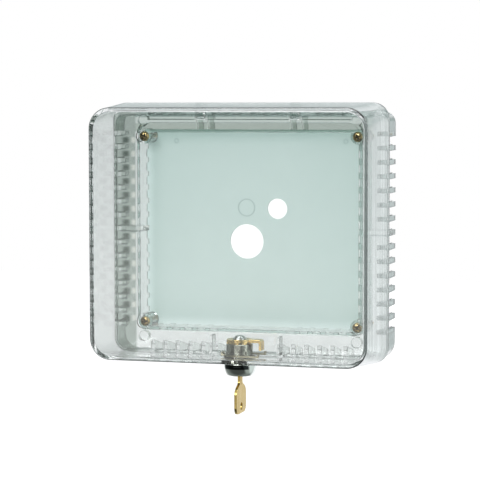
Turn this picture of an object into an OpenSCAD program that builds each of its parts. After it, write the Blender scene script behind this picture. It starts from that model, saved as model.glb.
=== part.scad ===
// Lockable wall guard for a thermostat: a clear hinged cover over a vented clear ring and a wall plate.
// Millimetres. +X right, +Y into the wall, +Z up. The origin is the middle of the four screws, at the wall.

/* [Cover] */
// Width of the cover's front face
cover_w = 200; // [190:0.5:225]
// Height of the cover's front face
cover_h = 177.4; // [170:0.2:200]
// Depth of the cover from its rim to its front face
cover_depth = 56.6; // [48:0.2:80]
// How far each side leans outwards between the front face and the rim
cover_draft = 3.4; // [2.6:0.1:4.4]
// Thickness of the cover's walls
cover_wall = 2.8; // [2.4:0.1:3.2]
// Radius of the cover's corners at the front
cover_corner_r = 15; // [12:0.5:18]
// Radius of the cover's corners at the rim
rim_corner_r = 12; // [10:0.5:15]
// Radius of the rounded edge round the front face
cover_edge_r = 4; // [3:0.5:5]

/* [Ring] */
// Depth of the ring from the wall to the cover's rim
ring_depth = 22.8; // [21.5:0.1:28]
// Thickness of the ring's outer wall
ring_wall = 2.5; // [2:0.1:3]
// Thickness of the ring's front web
web_t = 2; // [1.6:0.1:2.6]
// Thickness of the wall round the window
window_wall = 2.2; // [1.6:0.1:2.6]
// Width of the window
window_w = 162.4; // [156:0.2:166]
// Height of the window
window_h = 141; // [136:0.2:145]
// Height of the ledge above the window
ledge_h = 6.9; // [5.6:0.1:7.2]
// Thickness of that ledge
ledge_t = 2; // [1.6:0.1:2.6]
// Corner radius of the window behind the ledge
window_corner_r = 4; // [3:0.5:5]
// Corner radius of the window in front of the ledge
collar_corner_r = 8; // [6:0.5:10]
// Set-back of the ring's outer wall from the cover's rim
ring_setback = 0.4; // [0.2:0.1:1]
// Corner radius at the top of the ring
ring_top_r = 9; // [8:0.5:12]
// Corner radius at the bottom of the ring
ring_bottom_r = 13; // [10:0.5:15]
// Reach of the locating lip into the cover
lip_reach = 3; // [2:0.1:4]
// Thickness of the locating lip
lip_t = 1.6; // [1.2:0.1:2.2]
// Thickness of the bridge across each side, half-way up
bridge_t = 4; // [3:0.1:5]

/* [Vents] */
// Distance from one vent to the next down the sides
side_pitch = 10; // [9:0.1:11]
// Number of vents down each side
side_vents = 14; // [10:2:14]
// Distance from one vent to the next along the top and bottom
row_pitch = 9.6; // [9:0.1:10]
// Number of vents in each row at the bottom
row_vents = 5; // [3:1:5]
// Distance from the middle to the first vent at the bottom
row_start = 29; // [28:0.5:31]
// Width of a vent
vent_gap = 6.3; // [5:0.1:7]
// Depth of the notches at the back of the window's wall
notch_depth = 4; // [2:0.1:6]
// Thickness of the ribs behind the web
rib_t = 3.3; // [2:0.1:3.8]
// Reach of the ribs inwards from the ring's outer wall, at the web
rib_reach = 9; // [7:0.5:11]
// Reach of the ribs where they end at the wall
rib_foot = 3.7; // [2.5:0.1:6]
// Radius of the round bosses behind the web, above and below the screws
boss_r = 3.9; // [3:0.1:4.2]

/* [Wall plate] */
// Thickness of the wall plate
plate_t = 2; // [1.4:0.1:3]
// Radius of the plate's corners
plate_corner_r = 3; // [1:0.5:6]
// Radius of the large wiring hole
wire_hole_r = 12.6; // [8:0.1:15]
// Distance of the wiring hole to the left of the middle
wire_hole_left = 6.4; // [0:0.1:20]
// Distance of the wiring hole below the middle
wire_hole_down = 8.9; // [0:0.1:20]
// Radius of the small sensor hole
sensor_hole_r = 7.4; // [4:0.1:9]
// Distance of the sensor hole to the right of the middle
sensor_hole_right = 16.6; // [14:0.1:30]
// Distance of the sensor hole above the middle
sensor_hole_up = 15.2; // [10:0.1:30]
// Radius of the plain ring pressed in above the wiring hole
plate_mark_r = 6.6; // [5:0.1:8]
// Distance of that ring above the middle
plate_mark_up = 15.8; // [14:0.1:30]
// Radius of the two mould pin marks near the plate's top corners
pin_mark_r = 1.9; // [1:0.1:3]
// Distance of the left pin mark from the window's left side
left_mark_in = 21.4; // [12:0.1:40]
// Distance of the right pin mark from the window's right side
right_mark_in = 13.9; // [10:0.1:40]
// Distance of the pin marks below the top of the window
pin_mark_drop = 6.4; // [4:0.1:12]

/* [Screws] */
// Distance of the screw axes inside the window's left and right sides
post_in_x = 1.7; // [1:0.1:3]
// Distance of the screw axes inside the window's top and bottom
post_in_z = 2.8; // [2:0.1:4]
// Radius of the screw posts
post_r = 5.5; // [5:0.1:6.5]
// Depth of the post faces behind the cover's rim
post_setback = 6.2; // [5:0.1:8]
// Radius of the screws' threaded part
screw_r = 2.1; // [1.9:0.05:2.3]
// Radius of the screws' plain neck
screw_neck_r = 1.6; // [1.4:0.05:1.7]
// Length of a screw under its head
screw_l = 36.6; // [28:0.2:45]
// Length of a screw's point
screw_tip_l = 4; // [3:0.5:5]
// Radius of the screw heads
screw_head_r = 3.7; // [3.4:0.1:4.1]
// Height of the screw heads
screw_head_h = 2.3; // [1.8:0.1:2.8]

/* [Hinge and catch] */
// Distance from the middle to each hinge hook
hook_x = 35; // [28:0.5:60]
// Width of a hinge hook
hook_w = 6; // [5:0.1:8]
// Thickness of a hinge hook round its pin
hook_t = 2.15; // [1.8:0.05:2.4]
// Radius of the hinge pins
hinge_pin_r = 2; // [1.8:0.05:2.2]
// Distance of the pins under the cover's top wall
hinge_drop = 5.3; // [5.1:0.1:6]
// Distance of the pins behind the cover's rim
hinge_back = 2.8; // [2.6:0.1:3]
// Thickness of the cheeks beside each hook
cheek_t = 1.6; // [1.2:0.1:2.4]
// Reach of the catch tray in front of the ring
tray_reach = 8.2; // [7.6:0.1:8.4]
// Width of the catch tray
tray_w = 52; // [46:1:54]
// Thickness of the tray and of its walls
tray_t = 2; // [1.6:0.1:2.4]
// Height of the tray's side walls above the catch
tray_side_up = 3; // [1:0.5:5]
// Thickness of the catch wall
catch_t = 2.6; // [2:0.1:2.8]
// Half-width of the catch wall
catch_half_w = 6.2; // [5:0.1:8]
// Distance of the catch wall's right end to the right of the middle
catch_right = 2.5; // [1.5:0.1:4]

/* [Lock] */
// Distance of the lock's axis from the wall
lock_from_wall = 43; // [43:0.1:46]
// Radius of the lock's barrel
barrel_r = 9.5; // [9:0.1:10]
// Height of the barrel above the lock's seat
barrel_h = 13.4; // [12:0.1:16]
// Radius of the moulded pad under the lock
pad_r = 11.4; // [11.2:0.1:11.6]
// Radius of the flange that clamps the pad
flange_r = 11; // [10.6:0.1:11.2]
// Thickness of that flange
flange_t = 1.5; // [1.2:0.1:2]
// Drop of the key's entry below the seat
head_drop = 9.4; // [8:0.1:12]
// Radius of the lock's nose
nose_r = 8; // [7.8:0.1:8.4]
// Thickness of the trim cup
cup_t = 0.95; // [0.7:0.05:1.2]
// Radius of the turning plug
plug_r = 6; // [5.8:0.05:6.2]
// Thickness of the stop washer
stop_t = 1; // [0.8:0.1:1.2]
// Radius of the cam's hub
cam_hub_r = 9.3; // [8.6:0.1:9.5]
// Thickness of the cam
cam_t = 2.2; // [1.8:0.1:2.6]
// Distance from the lock's axis to the inside of the cam's hook
cam_reach = 15; // [15:0.1:16]
// Thickness of the cam's hook
hook_plate_t = 2; // [1.6:0.1:2.4]
// Width of the cam's arm
cam_arm_w = 8; // [6:0.1:9]
// Drop of the cam's hook below its arm
cam_hook_drop = 5.4; // [4.4:0.1:6]
// Radius of the washer on the cam
cam_washer_r = 5; // [4.5:0.1:6]
// Thickness of that washer
cam_washer_t = 0.8; // [0.6:0.1:1.2]
// Radius of the cam screw's head
cam_screw_head_r = 3.6; // [3:0.1:4]
// Height of the cam screw's head
cam_screw_head_h = 1.8; // [1.4:0.1:2.2]

/* [Spring clip] */
// Thickness of the clip's sheet
clip_t = 1.2; // [0.8:0.1:1.6]
// Width of the clip's band round the barrel
clip_band = 2.4; // [1.8:0.1:3]
// Reach of the clip's closed end past the band's inside
clip_back = 4.6; // [4:0.1:6]
// Reach of the clip's prongs past the band's inside
clip_prong = 8.4; // [6:0.1:10]
// Height of the turned-up ends
clip_lip_h = 2.6; // [1.8:0.1:3.4]

/* [Wafers and key] */
// Number of wafers
wafer_count = 5; // [5:1:5]
// Distance from one wafer to the next
wafer_pitch = 2.5; // [2.3:0.05:2.7]
// Distance of the first wafer inside the plug's face
wafer_start = 4; // [3.6:0.1:4.4]
// Thickness of a wafer
wafer_t = 1; // [0.8:0.05:1.1]
// Width of a wafer
wafer_w = 5; // [4.6:0.1:5.2]
// Radius of a wafer's spring
spring_r = 0.75; // [0.6:0.05:0.8]
// Thickness of the key
key_t = 1.9; // [1.6:0.05:2]
// Half-height of the key's blade
blade_half = 3.1; // [2.8:0.05:3.2]
// Length of the blade inside the plug
blade_in = 17; // [16.6:0.1:17.2]
// Length of the key's shank below the plug
shank_l = 5.6; // [4:0.1:9]
// Width of the key's bow
bow_w = 24; // [18:0.5:28]
// Length of the key's bow
bow_l = 21.4; // [18:0.2:28]
// Radius of the bow's lower corners
bow_r = 5; // [3:0.5:8]
// Radius of the hole in the bow
bow_hole_r = 2.7; // [1.8:0.1:3.2]
// Height of that hole above the bow's end
bow_hole_up = 4.8; // [4.4:0.1:8]

/* [Hidden] */
$fn = 64;

clear_tint = [0.84, 0.90, 0.89, 0.45];
plate_tint = [0.74, 0.81, 0.80];
brass_tint = [0.80, 0.66, 0.36];
chrome_tint = [0.78, 0.80, 0.82];
steel_tint = [0.62, 0.64, 0.66];

// Clearances
run_gap = 0.05;          // a shaft in its bore
seat_gap = 0.05;         // pressed and clamped metal
drive_gap = 0.1;         // a washer or cam on the plug's flats
side_gap = 0.4;          // a hook between its cheeks
bay_gap = 0.35;          // a hook in front of its bay
lip_gap = 0.35;          // the lip inside the cover
tray_gap = 0.6;          // the tray above the cover's floor
catch_gap = 0.4;         // the cam's hook behind and above the catch
wall_gap = 0.5;          // the ribs in front of the wall
screw_gap = 0.2;         // a screw in its post
plate_screw_gap = 0.3;   // a screw in the plate
head_gap = 0.8;          // a screw's head in its access hole
vent_clear = 0.5;        // a top vent beside a hinge cheek
wafer_side_gap = 0.1;    // a wafer beside its slot
wafer_end_gap = 0.1;     // a wafer's end inside the plug's skin
wafer_run = 0.5;         // a wafer below and above in the housing's groove
slot_gap = 0.05;         // a wafer's faces in its slot
keyway_gap = 0.15;       // the key in the plug
window_gap = 0.2;        // the key in a wafer's window
lug_gap = 0.2;           // a stop beside the washer's rim
over = 1;                // how far a cut runs past what it cuts
eps = 0.01;              // thickness of a slice in a hull, and the least that a cut runs past a wall
sink = 0.2;              // how far a lug sinks into what carries it
slice_fn = 32;           // facets of a round slice

// The cover's outline at the depth y, which is negative in front of the wall
rim_y = -ring_depth;
front_y = -(ring_depth + cover_depth);
inner_edge_share = 0.6;      // the inner edge's radius loses this share of the wall
inner_corner_share = 0.8;    // an inner corner's radius loses this share of the wall
rim_inner_r = rim_corner_r - cover_wall * inner_corner_share;
function lean(y) = cover_draft * (y - front_y) / cover_depth;
function side_x(y) = cover_w / 2 + lean(y);
function side_z(y) = cover_h / 2 + lean(y);

// Hinge line
pin_y = rim_y + hinge_back;
pin_z = side_z(rim_y) - cover_wall - hinge_drop;
hook_r = hinge_pin_r + run_gap + hook_t;
hook_root = 3;               // depth of the hook's root on the cover's wall
hook_root_sink = 0.8;        // how far the root sinks into that wall
hook_pinch = 0.2;            // how far each side of the hook's mouth stands in the pin's way
bay_w = hook_w + 2 * side_gap;
bay_r = hook_r + bay_gap;
cheek_foot = 1.5;            // how far the cheeks reach below the bay

// Ring
ring_x = side_x(rim_y) - ring_setback;
ring_bottom = -(side_z(rim_y) - ring_setback);
ring_top = pin_z + hinge_pin_r;
web_y = rim_y + web_t / 2;
collar_top = window_h / 2 + ledge_h;
window_x = window_w / 2;
window_z = window_h / 2;
post_y = rim_y + post_setback;
access_r = screw_head_r + head_gap;
ledge_back = post_y + ledge_t;
boss_high = collar_top + window_wall;
boss_low = -window_z - window_wall - 5.3;
lip_top_drop = 10;           // how far below the window's top the lip ends
lip_tray_gap = 4;            // how far from the tray the lip ends
screw_x = window_x - post_in_x;
screw_z = window_z - post_in_z;
screw_tip_r = 0.4;
part_clear = 0.3;            // how far inboard of the screw posts the ring's four parts meet
part_x = screw_x - post_r - part_clear;
top_vents = row_vents + 3;   // places for a vent on each side of the middle

// Wall plate
plate_half_w = window_x + window_wall;
plate_half_h = window_z + window_wall;
mark_depth = 0.25;
mark_line = 0.6;             // width of a pressed ring's line

// Lock heights, measured up from the wall's middle
lock_y = -lock_from_wall;
pad_proud = 0.2;             // how far the pad stands out below the sloping wall
pad_rise = 0.3;              // how far the pad stands up inside it
seat_z = -side_z(lock_y + pad_r) - pad_proud;
pad_top = -side_z(lock_y - pad_r) + cover_wall + pad_rise;
face_z = seat_z - head_drop;
barrel_top = seat_z + barrel_h;
bore_r = plug_r + run_gap;
groove_r = barrel_r - 1.2;
key_lug_w = 1.6;
key_lug_h = 0.8;
plug_head_r = plug_r + 0.8;
plug_head_t = 1;
plug_top = barrel_top + run_gap;
drive_flat = 3;              // half-width across the plug's two flats
drive_r = 3.8;
wafer_groove = 1;            // depth of the housing's groove for the wafers' ends
stop_r = 8.2;
stop_tab_r = 9.3;
stop_tab_w = 3;
stop_lug_h = 0.85;
stop_lug_w = 1.6;
stop_slack = 1.5;            // degrees that the tab keeps from each stop
stop_lug_angle = asin(stop_tab_w / 2 / stop_r) + asin(stop_lug_w / 2 / stop_r) + stop_slack;
cam_z = plug_top + stop_t + seat_gap;
cam_top = cam_z + cam_t;
drive_top = cam_top - 0.1;
cam_screw_r = 1.7;
cam_screw_l = 5.4;
cam_screw_room = 0.6;        // the plug's screw hole below the screw's end
slot_w = 0.9;                // width of a cross recess
slot_share = 1.2;            // length of a cross recess, as a share of the head's radius
clip_tab_share = 0.3;        // half-width of the clip's closed end, as a share of its band's radius

// Trim cup
cup_lift = 0.3;              // the cup's mouth above the lock's face
cup_lip = 0.7;               // how far its rounded mouth widens
cup_shoulder_z = seat_z - flange_t - 0.6;
cup_waist_out = 0.6;         // the cup's waist, as a share of the way out to its top
cup_waist_up = 0.35;         // and as a share of the way up to its shoulder
cup_mid_r = cup_t + nose_r + cup_waist_out * (flange_r - nose_r);
cup_mid_z = face_z + cup_waist_up * (cup_shoulder_z - face_z);

// Catch tray
tray_front = rim_y - tray_reach;
tray_floor = -side_z(tray_front) + cover_wall + tray_gap;
catch_back = min(tray_front + catch_t, lock_y + cam_reach - catch_gap);
catch_top = cam_z - catch_gap;

// Wafers and key
keyway_half_t = key_t / 2 + keyway_gap;
keyway_half_h = blade_half + keyway_gap;
window_half = blade_half + window_gap;
wafer_end_r = plug_r - wafer_end_gap;
wafer_tab_x = 3.4;
wafer_tab_w = 1.6;
wafer_tab_low = 0.6;
wafer_tab_high = 1.9;
spring_low = -3.35;
spring_wall = 0.3;
tab_room = 0.7;              // room for a wafer's tab above it
bittings = [0.4, 1.0, 0.6, 1.4, 0.8];
bit_flat = 0.6;              // half-length of a cut's floor in the key
shoulder_z = face_z - shank_l;
tip_z = face_z + blade_in;
bow_low = shoulder_z - bow_l;
blade_tip_l = 2;             // length of the blade's slanted tip
blade_tip_in = 2.4;          // how far that slant comes in from the cut edge
blade_tip_nib = 1.4;         // the small slant on the back edge
bow_shoulder_l = 6;          // height of the bow's sloping shoulders
key_groove_y = -0.9;
key_groove_w = 1.2;
key_groove_t = 0.35;
function wafer_z(i) = face_z + wafer_start + i * wafer_pitch;
function bitting(i) = bittings[i % len(bittings)];

// A flat X-Z outline made solid between two depths
module slab(back, front)
    translate([0, back, 0]) rotate([90, 0, 0]) linear_extrude(back - front) children();

// A round bar along X through a point of the Y-Z plane
module bar_x(x0, x1, y, z, r)
    translate([x0, y, z]) rotate([0, 90, 0]) cylinder(h = x1 - x0, r = r);

// A round bar along Y through a point of the X-Z plane
module bar_y(back, front, x, z, r)
    translate([x, back, z]) rotate([90, 0, 0]) cylinder(h = back - front, r = r);

// A round bar along Z between two heights
module bar_z(low, high, r) translate([0, 0, low]) cylinder(h = high - low, r = r);

// A box between two opposite corners
module block(a, b) translate(a) cube(b - a);

// A box between two distances from the middle, on the left for side -1 and on the right for side 1
module side_block(side, near, far, front, back, low, high)
    block([side > 0 ? near : -far, front, low], [side > 0 ? far : -near, back, high]);

// A rectangle with round corners, its top and bottom corners each with their own radius
module rounded(half_w, low, high, r_low, r_high) {
    polygon([[-half_w, low + r_low], [-half_w, high - r_high], [-half_w + r_high, high],
             [half_w - r_high, high], [half_w, high - r_high], [half_w, low + r_low],
             [half_w - r_low, low], [-half_w + r_low, low]]);
    for (side = [-1, 1]) {
        translate([side * (half_w - r_low), low + r_low]) circle(r = r_low);
        translate([side * (half_w - r_high), high - r_high]) circle(r = r_high);
    }
}

module at_lock() translate([0, lock_y, 0]) children();

module at_screws() for (x = [-1, 1], z = [-1, 1]) translate([x * screw_x, 0, z * screw_z]) children();

// One thin slice of the cover's outer or inner form
module cover_slice(y, inset, corner_r)
    slab(y + eps / 2, y - eps / 2)
        rounded(side_x(y) - inset, -side_z(y) + inset, side_z(y) - inset, corner_r, corner_r, $fn = slice_fn);

// The cover's form, set in from the outside by a wall's thickness
module cover_form(inset, back) {
    edge = cover_edge_r - inset * inner_edge_share;
    nose = front_y + inset;
    hull() {
        cover_slice(back, inset, rim_corner_r - inset * inner_corner_share);
        for (a = [0, 30, 60, 90])
            cover_slice(nose + edge * (1 - sin(a)), inset + edge * (1 - cos(a)),
                        cover_corner_r - inset * inner_corner_share - edge * (1 - cos(a)));
    }
}

// A hook that opens downwards and hangs on one of the ring's pins
module hinge_hook(x) {
    left = x - hook_w / 2;
    right = x + hook_w / 2;
    mouth = hinge_pin_r - hook_pinch;
    difference() {
        union() {
            bar_x(left, right, pin_y, pin_z, hook_r);
            block([left, rim_y - hook_root, pin_z - hook_t],
                  [right, rim_y, side_z(rim_y) - cover_wall + hook_root_sink]);
        }
        bar_x(left - over, right + over, pin_y, pin_z, hinge_pin_r + run_gap);
        block([left - over, pin_y - mouth, pin_z - hook_r - over], [right + over, pin_y + mouth, pin_z]);
    }
}

module cover() color(clear_tint) {
    difference() {
        union() {
            difference() {
                cover_form(0, rim_y);
                cover_form(cover_wall, rim_y + over);
            }
            at_lock() bar_z(seat_z, pad_top, pad_r);
        }
        at_lock() {
            bar_z(seat_z - over, pad_top + over, barrel_r + seat_gap);
            block([-key_lug_w / 2 - seat_gap, 0, seat_z - over],
                  [key_lug_w / 2 + seat_gap, barrel_r + key_lug_h + seat_gap, pad_top + over]);
        }
        block([-side_x(rim_y) - over, rim_y, -side_z(rim_y) - over],
              [side_x(rim_y) + over, rim_y + 2 * over, side_z(rim_y) + over]);
    }
    for (side = [-1, 1]) hinge_hook(side * hook_x);
}

// Cuts through a wall at each side vent, between two distances from the middle
module side_vent_cuts(near, far, back, front)
    for (i = [0 : side_vents - 1], side = [-1, 1]) {
        z = (i - (side_vents - 1) / 2) * side_pitch;
        side_block(side, near, far, front, back, z - vent_gap / 2, z + vent_gap / 2);
    }

module row_vent_cuts(low, high, back, front)
    for (i = [0 : row_vents - 1], side = [-1, 1]) {
        x = row_start + i * row_pitch;
        side_block(side, x - vent_gap / 2, x + vent_gap / 2, front, back, low, high);
    }

// The top row leaves out the vents that would cut into the hinge bays
module top_vent_cuts(low, high, back, front)
    for (i = [0 : top_vents - 1], side = [-1, 1]) {
        x = (i + 0.5) * row_pitch;
        if (abs(x - hook_x) > bay_w / 2 + cheek_t + vent_gap / 2 + vent_clear)
            side_block(side, x - vent_gap / 2, x + vent_gap / 2, front, back, low, high);
    }

// A gusset rib between the outer wall and the web, drawn in depth against distance from the middle
module side_rib(side, z) {
    wall_x = ring_x - ring_wall;
    outer = wall_x + ring_wall / 2;
    translate([0, 0, z - rib_t / 2]) linear_extrude(rib_t)
        polygon([[side * outer, web_y], [side * (wall_x - rib_reach), web_y],
                 [side * (wall_x - rib_foot), -wall_gap], [side * outer, -wall_gap]]);
}

module row_rib(x) {
    wall_z = ring_bottom + ring_wall;
    outer = wall_z - ring_wall / 2;
    translate([x - rib_t / 2, 0, 0]) rotate([90, 0, 90]) linear_extrude(rib_t)
        polygon([[web_y, outer], [web_y, wall_z + rib_reach],
                 [-wall_gap, wall_z + rib_foot], [-wall_gap, outer]]);
}

module ring_outline(inset)
    rounded(ring_x - inset, ring_bottom + inset, ring_top - inset,
            ring_bottom_r - inset, ring_top_r - inset);

module window_outline(out)
    rounded(window_x + out, -window_z - out, window_z + out,
            window_corner_r + out, window_corner_r + out);

module collar_outline(out)
    rounded(window_x + out, -window_z - out, collar_top + out,
            window_corner_r + out, collar_corner_r + out);

// The lip that fits just inside the cover's rim, left out at the top where the cover swings
module locating_lip() {
    reach_y = rim_y - lip_reach;
    lip_x = side_x(reach_y) - cover_wall - lip_gap;
    lip_z = side_z(reach_y) - cover_wall - lip_gap;
    tray_cut = tray_w / 2 + lip_tray_gap;
    slab(web_y, reach_y) difference() {
        rounded(lip_x, -lip_z, lip_z, rim_inner_r, rim_inner_r);
        rounded(lip_x - lip_t, -lip_z + lip_t, lip_z - lip_t, rim_inner_r - lip_t, rim_inner_r - lip_t);
        translate([-lip_x - over, window_z - lip_top_drop]) square([2 * (lip_x + over), lip_z]);
        translate([-tray_cut, -lip_z - over]) square([2 * tray_cut, lip_t + 3 * over]);
    }
}

// The tray that the cover's floor closes under, with the catch wall for the cam's hook
module catch_tray() {
    block([-tray_w / 2, tray_front, tray_floor], [tray_w / 2, web_y, tray_floor + tray_t]);
    block([catch_right - 2 * catch_half_w, catch_back - catch_t, tray_floor],
          [catch_right, catch_back, catch_top]);
    for (side = [-1, 1])
        side_block(side, tray_w / 2 - tray_t, tray_w / 2, tray_front, web_y, tray_floor,
                   catch_top + tray_side_up);
}

// A hinge bay's pin and its two cheeks, which go on behind the ledge down to the window's wall
module hinge_bay(x) {
    for (side = [-1, 1])
        translate([x, 0, 0]) {
            side_block(side, bay_w / 2, bay_w / 2 + cheek_t, rim_y, pin_y + bay_r,
                       pin_z - bay_r - cheek_foot, ring_top);
            side_block(side, bay_w / 2, bay_w / 2 + cheek_t, post_y, -plate_t,
                       window_z + window_wall / 2, ring_top);
        }
    bar_x(x - bay_w / 2 - cheek_t / 2, x + bay_w / 2 + cheek_t / 2, pin_y, pin_z, hinge_pin_r);
}

// The ring's walls and web, before anything is cut from them
module ring_walls() {
    slab(0, rim_y) difference() {
        ring_outline(0);
        ring_outline(ring_wall);
    }
    slab(rim_y + web_t, rim_y) difference() {
        ring_outline(ring_wall / 2);
        collar_outline(0);
    }
    slab(post_y, rim_y) difference() {
        collar_outline(window_wall);
        collar_outline(0);
    }
    slab(ledge_back, post_y) difference() {
        collar_outline(window_wall);
        window_outline(0);
    }
    slab(-plate_t, post_y) difference() {
        window_outline(window_wall);
        window_outline(0);
    }
}

module clear_ring() {
    difference() {
        union() {
            ring_walls();
            at_screws() bar_y(-plate_t, post_y, 0, 0, post_r);
            for (x = [-screw_x, screw_x], z = [boss_low, boss_high]) bar_y(ledge_back, web_y, x, z, boss_r);
            for (i = [0 : side_vents], side = [-1, 1])
                side_rib(side, (i - side_vents / 2) * side_pitch);
            for (i = [0 : row_vents], side = [-1, 1])
                row_rib(side * (row_start + (i - 0.5) * row_pitch));
            for (side = [-1, 1])
                side_block(side, window_x + window_wall / 2, ring_x - ring_wall / 2, web_y, -plate_t,
                           -bridge_t / 2, bridge_t / 2);
            locating_lip();
            catch_tray();
        }
        side_vent_cuts(ring_x - ring_wall - eps, ring_x + over, over, rim_y + web_t);
        side_vent_cuts(window_x - over, window_x + window_wall + eps, 0, -plate_t - notch_depth);
        row_vent_cuts(ring_bottom - over, ring_bottom + ring_wall + eps, over, rim_y + web_t);
        row_vent_cuts(-window_z - window_wall - eps, -window_z + over, 0, -plate_t - notch_depth);
        top_vent_cuts(ring_top - ring_wall - eps, ring_top + over, over, rim_y + web_t);
        for (side = [-1, 1])
            block([side * hook_x - bay_w / 2, rim_y - over, pin_z - bay_r],
                  [side * hook_x + bay_w / 2, pin_y + bay_r, ring_top + over]);
        at_screws() {
            bar_y(over, rim_y - over, 0, 0, screw_r + screw_gap);
            bar_y(post_y, rim_y - over, 0, 0, access_r);
        }
    }
    for (side = [-1, 1]) hinge_bay(side * hook_x);
}

// The clear ring is one moulding, kept as four straight parts that meet face to face beside the screw posts,
// so that none of them bends round the window
module ring_end(side) color(clear_tint) intersection() {
    clear_ring();
    side_block(side, part_x, ring_x + over, front_y, over, ring_bottom - over, ring_top + over);
}

module ring_row(low, high) color(clear_tint) intersection() {
    clear_ring();
    block([-part_x, front_y, low], [part_x, over, high]);
}

// A plate with round corners, square to the wall
module round_plate(half_w, half_h, r, back, front) {
    block([-half_w + r, front, -half_h], [half_w - r, back, half_h]);
    block([-half_w, front, -half_h + r], [half_w, back, half_h - r]);
    for (x = [-1, 1], z = [-1, 1]) bar_y(back, front, x * (half_w - r), z * (half_h - r), r);
}

// A shallow ring pressed into the plate's face
module plate_ring(x, z, r) difference() {
    bar_y(-plate_t + mark_depth, -plate_t - over, x, z, r);
    bar_y(over, -plate_t - 2 * over, x, z, r - mark_line);
}

module wallplate() color(plate_tint) difference() {
    round_plate(plate_half_w, plate_half_h, plate_corner_r, 0, -plate_t);
    at_screws() bar_y(over, -plate_t - over, 0, 0, screw_r + plate_screw_gap);
    bar_y(over, -plate_t - over, -wire_hole_left, -wire_hole_down, wire_hole_r);
    bar_y(over, -plate_t - over, sensor_hole_right, sensor_hole_up, sensor_hole_r);
    plate_ring(-wire_hole_left, plate_mark_up, plate_mark_r);
    plate_ring(-window_x + left_mark_in, window_z - pin_mark_drop, pin_mark_r);
    plate_ring(window_x - right_mark_in, window_z - pin_mark_drop, pin_mark_r);
}

// Pan-head screws: a plain neck through the post and the plate, and a threaded part behind the wall's face
module base_screws() color(brass_tint) at_screws() {
    thread_end = post_y + screw_l - screw_tip_l;
    difference() {
        union() {
            bar_y(post_y, post_y - screw_head_h, 0, 0, screw_head_r);
            bar_y(over, post_y - over, 0, 0, screw_neck_r);
            bar_y(thread_end, 0, 0, 0, screw_r);
            translate([0, thread_end, 0]) rotate([-90, 0, 0])
                cylinder(h = screw_tip_l, r1 = screw_r, r2 = screw_tip_r);
        }
        for (turn = [45, 135]) translate([0, post_y - screw_head_h, 0]) rotate([0, turn, 0])
            cube([screw_head_r * slot_share, screw_head_h + sink, slot_w], center = true);
    }
}

module lock_housing() color(chrome_tint) at_lock() {
    groove_low = wafer_z(0) - wafer_t - wafer_run;
    groove_high = wafer_z(wafer_count - 1) + wafer_t + wafer_run;
    groove_half = wafer_w / 2 + lug_gap;
    difference() {
        union() {
            bar_z(seat_z, barrel_top, barrel_r);
            bar_z(seat_z - flange_t, seat_z, flange_r);
            bar_z(face_z, seat_z - flange_t / 2, nose_r);
            block([-key_lug_w / 2, 0, seat_z - flange_t / 2], [key_lug_w / 2, barrel_r + key_lug_h, pad_top]);
            for (turn = [180 - stop_lug_angle, 270 + stop_lug_angle]) stop_lug(turn);
        }
        bar_z(face_z - over, barrel_top + 2 * over, bore_r);
        bar_z(face_z - over, face_z + plug_head_t + seat_gap, plug_head_r + run_gap);
        for (side = [-1, 1])
            block([-groove_half, side * plug_r - wafer_groove, groove_low],
                  [groove_half, side * plug_r + wafer_groove, groove_high]);
        difference() {
            bar_z(pad_top, pad_top + clip_t + 2 * seat_gap, barrel_r + over);
            bar_z(pad_top - over, pad_top + clip_t + over, groove_r);
        }
    }
}

// A small stop on top of the barrel, in reach of the stop washer's tab
module stop_lug(turn) rotate([0, 0, turn])
    block([stop_r + lug_gap, -stop_lug_w / 2, barrel_top - sink],
          [barrel_r - lug_gap, stop_lug_w / 2, barrel_top + stop_lug_h]);

module lock_trim_cup() color(chrome_tint) at_lock() {
    top_r = flange_r + cup_t;
    low_r = nose_r + cup_t;
    mouth_z = face_z + cup_lift;
    rotate_extrude() polygon([
        [nose_r + seat_gap, mouth_z], [low_r, mouth_z], [low_r + cup_lip, mouth_z + cup_lip],
        [cup_mid_r, cup_mid_z], [top_r - cup_t / 2, (cup_mid_z + cup_shoulder_z) / 2],
        [top_r, cup_shoulder_z], [top_r, seat_z], [flange_r + seat_gap, seat_z],
        [flange_r + seat_gap, seat_z - flange_t - seat_gap],
        [nose_r + seat_gap, seat_z - flange_t - seat_gap]]);
}

// A flat U of spring steel, pushed into the barrel's groove from the left
module lock_clip() color(steel_tint) at_lock() {
    inner = groove_r + seat_gap;
    outer = inner + clip_band;
    closed_x = -inner - clip_back;
    prong_x = inner + clip_prong;
    tab_half = outer * clip_tab_share;
    low = pad_top + seat_gap;
    high = low + clip_t;
    lip_top = low + clip_lip_h;
    difference() {
        union() {
            block([closed_x, -tab_half, low], [0, tab_half, high]);
            block([closed_x, -tab_half, low], [closed_x + clip_t, tab_half, lip_top]);
            bar_z(low, high, outer);
            for (side = [-1, 1]) {
                near = side > 0 ? inner : -outer;
                block([0, near, low], [prong_x, near + clip_band, high]);
                block([prong_x - clip_t, near, low], [prong_x, near + clip_band, lip_top]);
            }
        }
        bar_z(low - over, high + over, inner);
        block([0, -inner, low - over], [outer + over, inner, high + over]);
    }
}

module double_d(r, flat, low, high) intersection() {
    bar_z(low, high, r);
    block([-r - over, -flat, low - over], [r + over, flat, high + over]);
}

module lock_plug() color(brass_tint) at_lock() difference() {
    union() {
        bar_z(face_z, plug_top, plug_r);
        bar_z(face_z, face_z + plug_head_t, plug_head_r);
        double_d(drive_r, drive_flat, plug_top - over, drive_top);
    }
    block([-keyway_half_t, -keyway_half_h, face_z - over],
          [keyway_half_t, keyway_half_h, tip_z + window_gap]);
    for (i = [0 : wafer_count - 1]) translate([0, 0, wafer_z(i)]) wafer_slot();
    bar_z(drive_top - cam_screw_l - cam_screw_room, drive_top + over, cam_screw_r + run_gap);
}

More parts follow.
